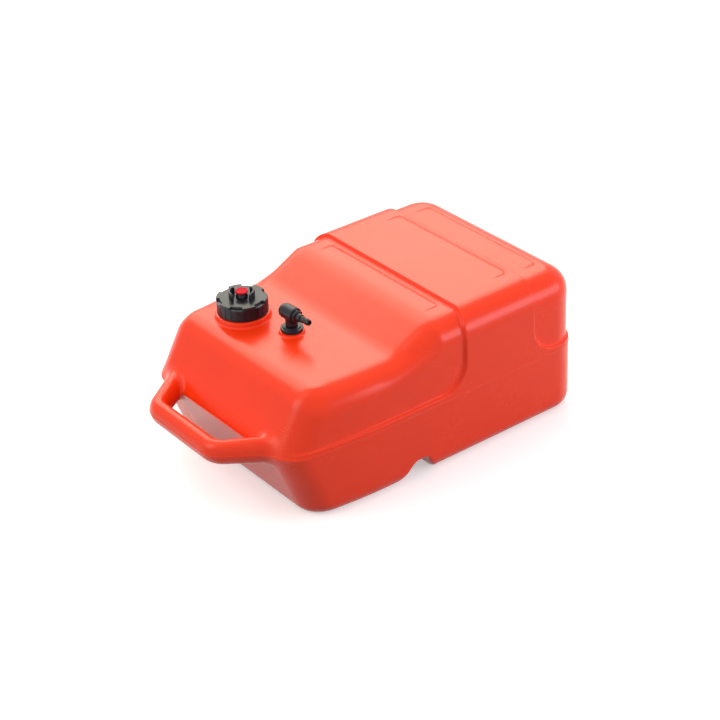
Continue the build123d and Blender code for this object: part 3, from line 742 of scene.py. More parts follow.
    def stations(self) -> list[tuple[np.ndarray, np.ndarray]]:
        """Centre points of the handle's rings with their sideways directions, out from the body."""
        form = self.form
        length = math.hypot(1, form.splay)
        inwards = np.array([form.splay, -1.0, 0.0]) / length
        outwards = np.array([-1.0, -form.splay, 0.0]) / length
        turn = math.acos(inwards[0])
        tangent = form.bend * math.tan(turn / 2)
        corner = np.array([form.bar_x, form.bend_y, form.parting])
        arm_end = corner - outwards * tangent
        first = corner - outwards * (-form.overhang - self.root_reach - form.bar_x) * length
        hub = np.array([form.bar_x + form.bend, form.bend_y - tangent, form.parting])
        rings = [(first + (arm_end - first) * t, inwards) for t in np.linspace(0, 1, 7)]
        for t in np.linspace(0, 1, 8)[1:]:
            angle = -turn * (1 - t)
            side = np.array([math.cos(angle), math.sin(angle), 0.0])
            rings.append((hub - form.bend * side, side))
        straight = np.array([1.0, 0.0, 0.0])
        for y in np.linspace(hub[1], 0, 14)[1:]:
            rings.append((np.array([form.bar_x, y, form.parting]), straight))
        return rings

    def add_handle(self, bm: bmesh.types.BMesh) -> None:
        """Grows the near half of the carry handle out of the front corner."""
        form = self.form
        front = lambda p: np.where(p[:, 0] < -5, 1.0, -1.0)  # noqa: E731
        score(bm, self.root_field, 1.0, front)
        inside = []
        for face in bm.faces:
            centre = np.array([tuple(face.calc_center_median())])
            if centre[0, 0] < -5 and self.root_field(centre)[0] < 1:
                inside.append(face)
        bmesh.ops.delete(bm, geom=inside, context="FACES")
        on_root = lambda co: co.x < -5 and self.root_field(np.array([tuple(co)]))[0] < 1.03  # noqa: E731
        loop = rim_loop(bm, lambda co: co.y > 1 and on_root(co))
        start = places(loop)
        across, up = self.root_axes(start)
        own = np.unwrap(np.arctan2(up / self.root_opening[1], across / self.root_opening[0]))
        way = math.copysign(2 * math.pi / len(loop), own[-1] - own[0])
        even = way * np.arange(len(loop))
        even = even + (own - even).mean()
        rings = self.stations()

        def ring(index: int, angles: np.ndarray) -> np.ndarray:
            centre, side = rings[index]
            swell = form.arm_swell * float(ease(np.array([(centre[0] + 84) / 40]))[0])
            wide, tall = form.bar_half[0] + swell, form.bar_half[1] + swell
            flat = np.outer(np.cos(angles) * wide, side)
            return centre + flat + np.outer(np.sin(angles) * tall, (0, 0, 1))

        blends = 8
        for step in range(1, blends + 1):
            t = step / blends
            loop = grow(bm, loop)
            target = ring(0, own + (even - own) * t)
            put(loop, start + (target - start) * t)
        for index in range(1, len(rings)):
            loop = grow(bm, loop)
            put(loop, ring(index, even))
        for vert in loop:
            vert.co.y = 0.0

    def open_deck(self, bm: bmesh.types.BMesh, place: tuple[float, float], radius: float) -> None:
        """Cuts a round hole in the upper skin of a mesh."""
        away = lambda p: np.hypot(p[:, 0] - place[0], p[:, 1] - place[1]) - radius  # noqa: E731
        upper = lambda p: np.where(p[:, 2] > 150, 1.0, -1.0)  # noqa: E731
        score(bm, away, 0.0, upper)
        inside = []
        for face in bm.faces:
            centre = face.calc_center_median()
            flat = math.hypot(centre.x - place[0], centre.y - place[1])
            if centre.z > 150 and flat < radius:
                inside.append(face)
        bmesh.ops.delete(bm, geom=inside, context="FACES")

    def outer_skin(self) -> bmesh.types.BMesh:
        """The whole outer skin with its steps and handle, cut along the mould lines."""
        form = self.form
        bm = self.half_block(self.cell)
        above = places(bm.verts)[:, 2] > form.ledge - 12
        set_steps(bm, np.where(above, form.step / 2, 0.0))
        self.press(bm)
        self.relax(bm, lambda p: np.maximum(p[:, 1] - 118, p[:, 0] - 425), 16)
        for level in (1.2, 2.6, 4.2, 6.0):
            score(bm, self.from_channel, level, self.by_channel)
            score(bm, lambda p: form.half_width - p[:, 1], level, self.in_channel)
        inland = lambda p: np.where((p[:, 0] > -26) & (p[:, 0] < 468), 1.0, -1.0)  # noqa: E731
        for level in self.step_cuts:
            score(bm, form.band, level, inland)
        for line in self.lines:
            for level in (-line.shoulder, -line.half_width, line.half_width, line.shoulder):
                score(bm, line.field, level, line.region)
        set_steps(bm, self.sunk_at(places(bm.verts)))
        self.press(bm)
        self.add_handle(bm)
        self.press(bm, handle=True)
        return bm

    def relieve(self, bm: bmesh.types.BMesh) -> None:
        """Raises the parting bead and sinks the mould lines in the finished skin."""
        form = self.form
        close = lambda p: np.where(np.abs(p[:, 2] - form.parting) < 7, 1.0, -1.0)  # noqa: E731
        height = lambda p: p[:, 2] - form.parting  # noqa: E731
        for level in self.bead_cuts:
            score(bm, height, level, close)
        verts = bm.verts[:]
        p = places(verts)
        sunk = steps_of(bm)
        slope = slope_of(lambda q: form.depth(q, sunk), p)
        slope = slope / np.maximum(np.linalg.norm(slope, axis=1), 1e-6)[:, None]
        outside = self.bead_cuts[-1]
        rise = self.bead_height * ease((outside - np.abs(p[:, 2] - form.parting)) / 0.9)
        rise = rise * (1 - np.abs(slope[:, 2])) ** 0.5
        for line in self.lines:
            rise = rise + line.relief(p)
        put(verts, p + slope * rise[:, None])

    def build(self) -> bpy.types.Object:
        """Makes the shell as one closed mesh, hollow inside.

        Returns:
            The object.
        """
        bm = self.outer_skin()
        self.mirror(bm)
        self.relieve(bm)
        inner = self.half_block(self.inner_cell)
        set_steps(inner, np.full(len(inner.verts), self.form.step / 2))
        self.press(inner, self.wall)
        set_steps(inner, self.sunk_at(places(inner.verts)))
        self.press(inner, self.wall)
        self.mirror(inner)
        fittings = ((self.cap_place, self.neck, 42.0), (self.outlet_place, self.boss, 19.8))
        for place, profile, opening in fittings:
            self.open_deck(bm, place, opening)
            self.open_deck(inner, place, profile[-1][0])
        outer_skin = set(bm.verts)
        inner_mesh = bpy.data.meshes.new("inner_skin")
        inner.to_mesh(inner_mesh)
        inner.free()
        bm.from_mesh(inner_mesh)
        bpy.data.meshes.remove(inner_mesh)
        inner_skin = set(bm.verts) - outer_skin
        for place, profile, opening in fittings:
            spun = turned(bm, profile, steps=112, closed=False)
            stand(bm, spun, over(*place))
            top = rim_edges(outer_skin, place, opening, self.deck_z)
            bmesh.ops.bridge_loops(bm, edges=top + rim_edges(spun, place, *profile[0]))
            reach, level = profile[-1][0], self.deck_z - self.wall
            ceiling = rim_edges(inner_skin, place, reach, level, slack=4.0)
            bmesh.ops.bridge_loops(bm, edges=ceiling + rim_edges(spun, place, *profile[-1]))
        rib = turned(
            bm,
            self.thread,
            steps=96 * self.thread_turns,
            sweep=360.0 * self.thread_turns,
            rise=self.thread_pitch * self.thread_turns,
        )
        stand(bm, rib, over(*self.cap_place, self.thread_start))
        to_frame(bm)
        return piece(bm, "tank_moulding")

    @staticmethod
    def mirror(bm: bmesh.types.BMesh) -> None:
        """Adds the other half of a mesh across the middle plane."""
        geometry = bm.verts[:] + bm.edges[:] + bm.faces[:]
        bmesh.ops.mirror(bm, geom=geometry, matrix=Matrix.Identity(4), merge_dist=1e-3, axis="Y")


# ---------------------------------------------------------------- placing and dressing
class Body(Enum):
    """The bodies that pieces ride on."""

    TANK = "tank"
    CAP_CARRIER = "cap_carrier"
    CAP = "cap"
    VENT_CARRIER = "vent_carrier"
    VENT = "vent"
    ELBOW = "elbow"


def fit(
    made: bpy.types.Object, body: Body, node: str, finish: bpy.types.Material
) -> bpy.types.Object:
    """Dresses a new piece and puts it in the place of a CAD node.

    Args:
        made: The piece.
        body: The body it moves with.
        node: The CAD node it stands for.
        finish: Its material.

    Returns:
        The piece.
    """
    made.data.materials.append(finish)
    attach(made, body.value)
    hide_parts(node)
    LOG.info("%s stands for %s on %s", made.name, node, body.value)
    return made


def lathe(name: str, profile: Profile, place: Matrix, steps: int = 96) -> bpy.types.Object:
    """Makes a whole piece by spinning one profile.

    Args:
        name: The piece's name.
        profile: Radius and height of each corner; one that starts on the axis ends on it.
        place: Where the Z axis of the profile stands.
        steps: Faces round the turn.

    Returns:
        The piece's object.
    """
    bm = bmesh.new()
    spun = turned(bm, profile, steps=steps, closed=profile[0][0] > 0)
    stand(bm, spun, place)
    to_frame(bm)
    return piece(bm, name)


# ---------------------------------------------------------------- the filler cap
@dataclass
class FillerCap:
    """The screw cap: grip grooves round its skirt, six lobes on top and two curved guards."""

    place: tuple[float, float] = (71.0, 83.0)
    radius: float = 36.0
    foot: float = 194.0
    ceiling: float = 211.0
    top: float = 215.0
    bore: float = 30.4
    notches: int = 6
    notch_phase: float = 41.3
    notch_angle: float = 29.0
    notch_depth: float = 3.5
    notch_root: float = 31.0
    grooves: int = 24
    groove_edge: float = 1.0
    groove_floor: float = 0.72
    groove_depth: float = 0.6
    boss_radius: float = 6.0
    boss_foot: float = 207.0
    vent_bore: float = 3.05
    guards: int = 2
    guard_phase: float = -38.0
    guard_sweep: float = 96.0
    guard_inner: float = 15.5
    guard_outer: float = 18.3
    guard_top: float = 225.0
    guard_fall: float = 2.4
    thread: Profile = ((30.7, -0.9), (30.7, 0.9), (28.9, 0.45), (28.9, -0.45))
    thread_start: float = 195.0
    thread_turns: int = 2
    thread_pitch: float = 5.0

    def notch_edges(self) -> list[float]:
        """Angles of the notches' two sides, in degrees."""
        pitch, half = 360 / self.notches, self.notch_angle / 2
        middles = [self.notch_phase + k * pitch for k in range(self.notches)]
        return [(middle + side) % 360 for middle in middles for side in (-half, half)]

    def rim(self) -> list[tuple[float, bool]]:
        """Angles round the skirt in order, each with whether it is on a groove's floor."""
        pitch = 360 / self.grooves
        sides = self.notch_edges()
        spots = [(side, False) for side in sides]
        for k in range(self.grooves):
            for offset in (-self.groove_edge, self.groove_edge, 4.2, 7.5, 10.8):
                angle = (k * pitch + offset) % 360
                gap = min(abs((angle - side + 180) % 360 - 180) for side in sides)
                if gap > 1.6:
                    spots.append((angle, False))
            for offset in (-self.groove_floor, self.groove_floor):
                spots.append(((k * pitch + offset) % 360, True))
        return sorted(spots)

    def in_notch(self, co: Vector) -> bool:
        """Whether a position lies in the outer part of a notch."""
        angle = math.degrees(math.atan2(co.y, co.x)) - self.notch_phase
        pitch = 360 / self.notches
        off = abs((angle + pitch / 2) % pitch - pitch / 2)
        return off < self.notch_angle / 2 and math.hypot(co.x, co.y) > self.notch_root

    def shell(self, bm: bmesh.types.BMesh) -> None:
        """Grows the skirt, the lobed top and the hollow from one ring."""
        spots = self.rim()
        angles = np.radians([angle for angle, _ in spots])
        on_floor = np.array([floor for _, floor in spots])
        low_top = self.top - self.notch_depth

        def ring(radius: float, height: float, grooved: bool = False) -> np.ndarray:
            reach = radius - self.groove_depth * (on_floor & grooved)
            return np.stack([reach * np.cos(angles), reach * np.sin(angles), angles * 0 + height], 1)

        loop = bmesh.ops.create_circle(bm, radius=self.radius, segments=len(spots))["verts"]
        first = loop
        put(loop, ring(self.radius, self.foot))
        rings = (
            (self.radius, self.foot + 1.1, False),
            (self.radius, self.foot + 1.5, True),
            (self.radius, low_top - 1.7, True),
            (self.radius, low_top - 1.3, False),
            (self.radius, low_top, False),
            (self.notch_root, low_top, False),
            (self.guard_outer + 2, low_top, False),
            (self.boss_radius + 4, low_top, False),
            (self.vent_bore, low_top, False),
            (self.vent_bore, self.boss_foot, False),
            (self.boss_radius, self.boss_foot, False),
            (self.boss_radius, self.ceiling, False),
            (self.bore, self.ceiling, False),
            (self.bore, self.foot, False),
        )
        for radius, height, grooved in rings:
            loop = grow(bm, loop)
            put(loop, ring(radius, height, grooved))
        count = len(loop)
        inner = [bm.edges.get((loop[i], loop[(i + 1) % count])) for i in range(count)]
        outer = [bm.edges.get((first[i], first[(i + 1) % count])) for i in range(count)]
        bmesh.ops.bridge_loops(bm, edges=inner + outer)
        raised = []
        for face in bm.faces:
            centre = face.calc_center_median()
            level = all(abs(v.co.z - low_top) < 1e-4 for v in face.verts)
            if level and not self.in_notch(centre):
                raised.append(face)
        grown = bmesh.ops.extrude_face_region(bm, geom=raised)["geom"]
        lifted = [item for item in grown if isinstance(item, bmesh.types.BMVert)]
        bmesh.ops.translate(bm, verts=lifted, vec=(0, 0, self.notch_depth))
        bmesh.ops.delete(bm, geom=raised, context="FACES")

    def round_over(self, bm: bmesh.types.BMesh, offset: float) -> None:
        """Bevels the rim, the lobes and the foot, away from the fine grooves."""
        bmesh.ops.recalc_face_normals(bm, faces=bm.faces)
        low_top = self.top - self.notch_depth
        chosen = []
        for edge in upright_edges(bm, 60):
            outside = all(math.hypot(v.co.x, v.co.y) > self.notch_root - 0.1 for v in edge.verts)
            high = all(v.co.z > low_top - 0.1 for v in edge.verts)
            foot = all(v.co.z < self.foot + 0.1 for v in edge.verts)
            if outside and (high or foot):
                chosen.append(edge)
        bmesh.ops.bevel(
            bm,
            geom=chosen,
            offset=offset,
            offset_type="OFFSET",
            affect="EDGES",
            segments=3,
            profile=0.5,
            material=-1,
            clamp_overlap=False,
        )

    def add_guard(self, bm: bmesh.types.BMesh, middle: float) -> None:
        """Spins one curved guard and lets its top fall at both ends.

        Args:
            bm: The mesh.
            middle: Angle of the guard's middle, in degrees.
        """
        foot = self.top - 2
        profile = (
            (self.guard_inner, foot),
            (self.guard_outer, foot),
            (self.guard_outer, self.guard_top),
            (self.guard_inner, self.guard_top),
        )
        wall = turned(bm, softened(profile, 0.9, keep=(0, 1)), steps=32, sweep=self.guard_sweep)
        for vert in wall:
            turn = math.degrees(math.atan2(vert.co.y, vert.co.x)) / self.guard_sweep * 2 - 1
            if vert.co.z > self.top + 1:
                vert.co.z -= self.guard_fall * abs(turn) ** 7
        start = math.radians(middle - self.guard_sweep / 2)
        stand(bm, wall, Matrix.Rotation(start, 4, "Z"))

    def build(self) -> bpy.types.Object:
        """Makes the cap.

        Returns:
            The object.
        """
        bm = bmesh.new()
        self.shell(bm)
        self.round_over(bm, 0.55)
        for k in range(self.guards):
            self.add_guard(bm, self.guard_phase + k * 360 / self.guards)
        rib = turned(
            bm,
            self.thread,
            steps=72 * self.thread_turns,
            sweep=360.0 * self.thread_turns,
            rise=self.thread_pitch * self.thread_turns,
        )
        stand(bm, rib, over(0, 0, self.thread_start))
        stand(bm, bm.verts, over(*self.place))
        to_frame(bm)
        return piece(bm, "cap_moulding")


@dataclass
class VentScrew:
    """The flared vent screw in the cap's middle and its red knob."""

    place: tuple[float, float] = (71.0, 83.0)
    screw: Profile = (
        (0.0, 202.75), (3.0, 202.75), (3.0, 203.55), (2.3, 203.55), (2.3, 204.35), (3.0, 204.35),
        (3.0, 215.8), (8.5, 215.8), (8.5, 216.8), (5.3, 221.0), (5.3, 222.0), (0.0, 222.0),
    )  # fmt: skip
    knob: Profile = (
        (0.0, 218.5), (2.5, 218.5), (2.5, 222.0), (9.0, 222.0), (9.0, 224.4), (7.6, 224.4),
        (6.9, 223.95), (0.0, 223.85),
    )  # fmt: skip

    def build_screw(self) -> bpy.types.Object:
        """The black stem and shank."""
        return lathe("vent_stem", softened(self.screw, 0.45), over(*self.place), 72)

    def build_knob(self) -> bpy.types.Object:
        """The red knob."""
        return lathe("vent_grip", softened(self.knob, 0.75), over(*self.place), 72)


# ---------------------------------------------------------------- the outlet
@dataclass
class OutletFitting:
    """The outlet's gasket and base, the swivelling elbow and the hose barb."""

    place: tuple[float, float] = (94.0, 0.0)
    turn: float = 3.5
    head_axis: float = 215.0
    head_radius: float = 10.8
    head_back: float = 19.5
    head_front: float = 9.5
    dome: float = 9.3
    socket: float = 1.45
    stem_radius: float = 8.5
    foot: float = 196.3
    crease: float = 2.2
    opening: float = 9.0
    collar_radius: float = 9.0
    collar: tuple[float, float] = (10.5, 15.0)
    base: Profile = (
        (15.8, 190.0), (15.8, 194.0), (12.5, 194.0), (12.5, 196.0), (6.05, 196.0), (6.05, 178.0),
        (2.5, 178.0), (2.5, 157.0), (4.2, 157.0), (4.2, 171.0), (10.9, 171.0), (10.9, 190.0),
    )  # fmt: skip
    gasket: Profile = ((10.95, 188.5), (14.5, 188.5), (14.5, 190.0), (10.95, 190.0))
    pin: Profile = (
        (8.2, 196.3), (6.0, 196.3), (6.0, 179.5), (3.0, 179.5), (3.0, 197.5), (0.0, 197.5),
    )  # fmt: skip
    washer: Profile = ((6.05, 9.5), (7.75, 9.5), (7.75, 10.5), (6.05, 10.5))
    barb: Profile = (
        (2.5, 1.5), (6.0, 1.5), (6.0, 10.9), (5.65, 10.9), (5.65, 22.5), (3.9, 22.5),
        (3.9, 24.15), (4.8, 24.15), (4.8, 26.75), (3.9, 30.75), (3.9, 32.4), (4.8, 32.4),
        (4.8, 35.0), (3.9, 39.0), (2.5, 39.0),
    )  # fmt: skip

    def along(self) -> Matrix:
        """The place whose Z axis runs out along the barb and whose X axis points up."""
        angle = math.radians(self.turn - 90)
        outward = Vector((math.cos(angle), math.sin(angle), 0))
        up = Vector((0, 0, 1))
        turned_axes = Matrix((up, outward.cross(up), outward)).transposed().to_4x4()
        return over(*self.place, self.head_axis) @ turned_axes

    def on_head(self, p: np.ndarray) -> np.ndarray:
        """Positions measured along the head's own axes."""
        local = self.along().inverted()
        return p @ np.array(local.to_3x3()).T + np.array(local.translation)

    def from_head_axis(self, p: np.ndarray) -> np.ndarray:
        """Distance from the head's axis."""
        q = self.on_head(p)
        return np.hypot(q[:, 0], q[:, 1])

    def elbow_depth(self, p: np.ndarray) -> np.ndarray:
        """Depth below the elbow's outer skin."""
        q = self.on_head(p)
        head = np.hypot(q[:, 0], q[:, 1]) - self.head_radius
        head = meet(head, -self.head_back - q[:, 2], self.dome)
        head = np.maximum(head, q[:, 2] - self.head_front)
        stem = np.hypot(p[:, 0] - self.place[0], p[:, 1] - self.place[1]) - self.stem_radius
        stem = np.maximum(stem, p[:, 2] - self.head_axis)
        return join(head, stem, self.crease)

    def head_profile(self) -> list[tuple[float, float]]:
        """The head's outline from its domed back round its mouth to the bottom of its socket."""
        back, flat = -self.head_back, self.head_radius - self.dome
        outline = [(0.0, back)]
        for angle in np.radians(np.linspace(0, 90, 10)):
            reach = flat + self.dome * math.sin(angle)
            outline.append((reach, back + self.dome * (1 - math.cos(angle))))
        start = back + self.dome
        straight = np.linspace(start, self.head_front - 1.0, 15)[1:]
        outline += [(self.head_radius, float(u)) for u in straight]
        outline += [(self.head_radius, self.head_front - 0.5)]
        outline += [(self.head_radius - 0.5, self.head_front), (6.1, self.head_front)]
        outline += [(6.1, self.socket), (0.0, self.socket)]
        return outline

    def build_elbow(self) -> bpy.types.Object:
        """The swivelling elbow: a domed head that runs down into its stem.

        Returns:
            The object.
        """
        bm = bmesh.new()
        stand(bm, turned(bm, self.head_profile(), steps=72, closed=False), self.along())
        centre = np.array(self.place)
        away = lambda p: np.hypot(p[:, 0] - centre[0], p[:, 1] - centre[1])  # noqa: E731
        under = lambda p: np.where(  # noqa: E731
            (p[:, 2] < self.head_axis - 1) & (self.from_head_axis(p) > 8), 1.0, -1.0
        )
        score(bm, away, self.opening, under)
        inside = []
        for face in bm.faces:
            spot = np.array([tuple(face.calc_center_median())])
            if under(spot)[0] > 0 and away(spot)[0] < self.opening:
                inside.append(face)
        bmesh.ops.delete(bm, geom=inside, context="FACES")
        loop = rim_loop(bm, lambda co: co.z < self.head_axis)
        start = places(loop)
        angles = np.arctan2(start[:, 1] - centre[1], start[:, 0] - centre[0])
        spokes = np.stack([np.cos(angles), np.sin(angles)], axis=1)
        junction = list(loop)
        knee = self.head_axis - self.head_radius - 3.4

        def level(radius: float, height: float) -> np.ndarray:
            return np.column_stack([centre + spokes * radius, np.full(len(spokes), height)])

        for t in (0.15, 0.3, 0.45, 0.6, 0.8, 1.0):
            loop = grow(bm, loop)
            put(loop, start + (level(self.stem_radius, knee) - start) * t)
            junction += loop
        put(junction, settle(places(junction), self.elbow_depth, longest=2.0))
        for radius, height in ((8.5, knee - 2), (8.5, self.foot + 0.4), *self.pin[:5]):
            loop = grow(bm, loop)
            put(loop, level(radius, height))
        bmesh.ops.contextual_create(
            bm, geom=[bm.edges.get((loop[i - 1], loop[i])) for i in range(len(loop))]
        )
        to_frame(bm)
        return piece(bm, "swivel_elbow")

    def build_barb(self) -> bpy.types.Object:
        """The hose barb with its hexagonal collar.

        Returns:
            The object.
        """
        bm = bmesh.new()
        start, end = self.collar
        flat_up = over(0, 0, start) @ Matrix.Rotation(math.radians(30), 4, "Z")
        bmesh.ops.create_circle(
            bm, cap_ends=True, radius=self.collar_radius, segments=6, matrix=flat_up
        )
        grown = bmesh.ops.extrude_face_region(bm, geom=bm.faces[:])["geom"]
        raised = [item for item in grown if isinstance(item, bmesh.types.BMVert)]
        bmesh.ops.translate(bm, verts=raised, vec=(0, 0, end - start))
        ease_edges(bm, 0.55, segments=3)
        turned(bm, softened(self.barb, 0.35), steps=72)
        stand(bm, bm.verts, self.along())
        to_frame(bm)
        return piece(bm, "hose_tail")

    def build_base(self) -> bpy.types.Object:
        """The outlet's round base with its plug."""
        return lathe("outlet_plug", softened(self.base, 0.7), over(*self.place))

    def build_gasket(self) -> bpy.types.Object:
        """The gasket under the base."""
        return lathe("outlet_ring", softened(self.gasket, 0.3), over(*self.place))

    def build_washer(self) -> bpy.types.Object:
        """The washer behind the hexagonal collar."""
        return lathe("barb_ring", softened(self.washer, 0.2), self.along(), 72)


# ---------------------------------------------------------------- node graphs
class Graph:
    """Adds nodes to one tree and links them."""

    def __init__(self, tree: bpy.types.NodeTree) -> None:
        """Takes the tree that nodes are added to."""
        self.tree = tree

    def feed(self, socket: bpy.types.NodeSocket, value: object) -> None:
        """Links an output to a socket, or sets the socket's own value."""
        if isinstance(value, bpy.types.NodeSocket):
            self.tree.links.new(value, socket)
        else:
            socket.default_value = value

    def add(self, kind: str, fields: dict[str, object] | None = None, **inputs: object):
        """Adds a node.

        Args:
            kind: The node's type, without its ShaderNode start.
            fields: The node's own options.
            **inputs: Its sockets by name, with underscores for spaces.

        Returns:
            The node.
        """
        node = self.tree.nodes.new("ShaderNode" + kind)
        for name, value in (fields or {}).items():
            setattr(node, name, value)
        for name, value in inputs.items():
            self.feed(node.inputs[name.replace("_", " ")], value)
        return node

    def math(self, operation: str, a: object, b: object = 0.0, clamp: bool = False):
        """The result of one step of arithmetic."""
        node = self.tree.nodes.new("ShaderNodeMath")
        node.operation, node.use_clamp = operation, clamp
        self.feed(node.inputs[0], a)
        self.feed(node.inputs[1], b)
        return node.outputs[0]

    def span(self, value: object, low: float, high: float, start: float = 0.0, end: float = 1.0):
        """A value carried from one range to another, held at its ends."""
        node = self.add("MapRange", None, Value=value)
        for name, number in (("From Min", low), ("From Max", high), ("To Min", start), ("To Max", end)):
            node.inputs[name].default_value = number
        return node.outputs[0]

    def tint(self, share: object, first: object, second: object):
        """A colour between two others."""
        node = self.tree.nodes.new("ShaderNodeMix")
        node.data_type = "RGBA"
        self.feed(node.inputs[0], share)
        self.feed(node.inputs[6], first)
        self.feed(node.inputs[7], second)
        return node.outputs[2]

    def noise(self, vector: object, scale: object, detail: float = 2.0, rough: float = 0.5):
        """Soft noise from 0 to 1."""
        node = self.add("TexNoise", None, Vector=vector, Scale=scale, Detail=detail, Roughness=rough)
        return node.outputs[0]

    def effect(self, tree: bpy.types.NodeTree, **inputs: object):
        """Places a shared effect and returns its node."""
        node = self.add("Group", {"node_tree": tree})
        for name, value in inputs.items():
            self.feed(node.inputs[name], value)
        return node


class Effects:
    """The surface effects that several finishes share, each a node group built once."""

    def __init__(self) -> None:
        """Builds every group."""
        self.grain = self.build_grain()
        self.scuffs = self.build_scuffs()
        self.dust = self.build_dust()

    @staticmethod
    def group(name: str, inputs: dict[str, float | None], outputs: Sequence[str]):
        """Starts a group.

        Args:
            name: The group's name.
            inputs: Its inputs' defaults; None makes a vector input.
            outputs: Its outputs' names.

        Returns:
            The group, a graph on it, its input node and its output node.
        """
        tree = bpy.data.node_groups.new(name, "ShaderNodeTree")
        for label, default in inputs.items():
            kind = "NodeSocketVector" if default is None else "NodeSocketFloat"
            socket = tree.interface.new_socket(name=label, in_out="INPUT", socket_type=kind)
            if default is not None:
                socket.default_value = default
        for label in outputs:
            tree.interface.new_socket(name=label, in_out="OUTPUT", socket_type="NodeSocketFloat")
        graph = Graph(tree)
        return tree, graph, tree.nodes.new("NodeGroupInput"), tree.nodes.new("NodeGroupOutput")

    def build_grain(self) -> bpy.types.NodeTree:
        """The mould's fine pebble and slow waves, and a cloudy mottle in the plastic."""
        inputs = {"Vector": None, "Pebble": 700.0, "Wave": 14.0}
        tree, graph, given, result = self.group("mould_grain", inputs, ("Height", "Mottle"))
        where = given.outputs["Vector"]
        pebble = graph.noise(where, given.outputs["Pebble"], 3.0, 0.55)
        wave = graph.noise(where, given.outputs["Wave"], 1.0, 0.4)
        cloud = graph.noise(where, graph.math("MULTIPLY", given.outputs["Wave"], 0.6), 4.0, 0.6)
        height = graph.math("ADD", graph.math("MULTIPLY", pebble, 0.12), wave)
        graph.feed(result.inputs["Height"], height)
        mottle = graph.math("ADD", graph.math("MULTIPLY", cloud, 0.75), graph.math("MULTIPLY", pebble, 0.25))
        graph.feed(result.inputs["Mottle"], mottle)
        return tree

    def build_scuffs(self) -> bpy.types.NodeTree:
        """Fine hairline scuffs that lie in patches."""
        inputs = {"Vector": None, "Spacing": 60.0, "Amount": 0.3}
        tree, graph, given, result = self.group("hairline_scuffs", inputs, ("Mask",))
        where = given.outputs["Vector"]
        lines = []
        for turn in (0.5, 1.9):
            turned_axes = graph.add("Mapping", None, Vector=where, Rotation=(turn, turn * 0.7, turn * 1.3))
            turned_axes.inputs["Scale"].default_value = (1.0, 0.06, 1.0)
            strand = graph.noise(turned_axes.outputs[0], graph.math("MULTIPLY", given.outputs["Spacing"], 6.0), 1.0)
            off = graph.math("ABSOLUTE", graph.math("SUBTRACT", strand, 0.5))
            lines.append(graph.span(off, 0.0, 0.006, 1.0, 0.0))
        patch = graph.span(graph.noise(where, given.outputs["Spacing"], 2.0), 0.52, 0.72)
        mask = graph.math("MULTIPLY", graph.math("MAXIMUM", lines[0], lines[1]), patch)
        graph.feed(result.inputs["Mask"], graph.math("MULTIPLY", mask, given.outputs["Amount"], True))
        return tree

    def build_dust(self) -> bpy.types.NodeTree:
        """A thin dust that settles on what faces up."""
        inputs = {"Vector": None, "Grain": 900.0, "Amount": 0.2}
        tree, graph, given, result = self.group("settled_dust", inputs, ("Mask",))
        facing = graph.add("SeparateXYZ", None, Vector=graph.add("NewGeometry").outputs["Normal"])
        upward = graph.span(facing.outputs[2], 0.35, 1.0)
        specks = graph.span(graph.noise(given.outputs["Vector"], given.outputs["Grain"], 3.0, 0.7), 0.42, 0.75)
        drift = graph.span(graph.noise(given.outputs["Vector"], 24.0, 3.0), 0.35, 0.7, 0.35, 1.0)
        mask = graph.math("MULTIPLY", graph.math("MULTIPLY", specks, drift), upward)
        graph.feed(result.inputs["Mask"], graph.math("MULTIPLY", mask, given.outputs["Amount"], True))
        return tree


def start_material(name: str) -> tuple[bpy.types.Material, Graph, object, bpy.types.Node]:
    """Starts a material.

    Args:
        name: Its name.

    Returns:
        The material, a graph on it, the object's own coordinates and the surface shader.
    """
    material = bpy.data.materials.new(name)
    material.use_nodes = True
    graph = Graph(material.node_tree)
    where = graph.add("TexCoord").outputs["Object"]
    return material, graph, where, material.node_tree.nodes["Principled BSDF"]


Colour = tuple[float, float, float]


def opaque(colour: Colour) -> tuple[float, float, float, float]:
    """The colour with full cover."""
    return (*colour, 1.0)


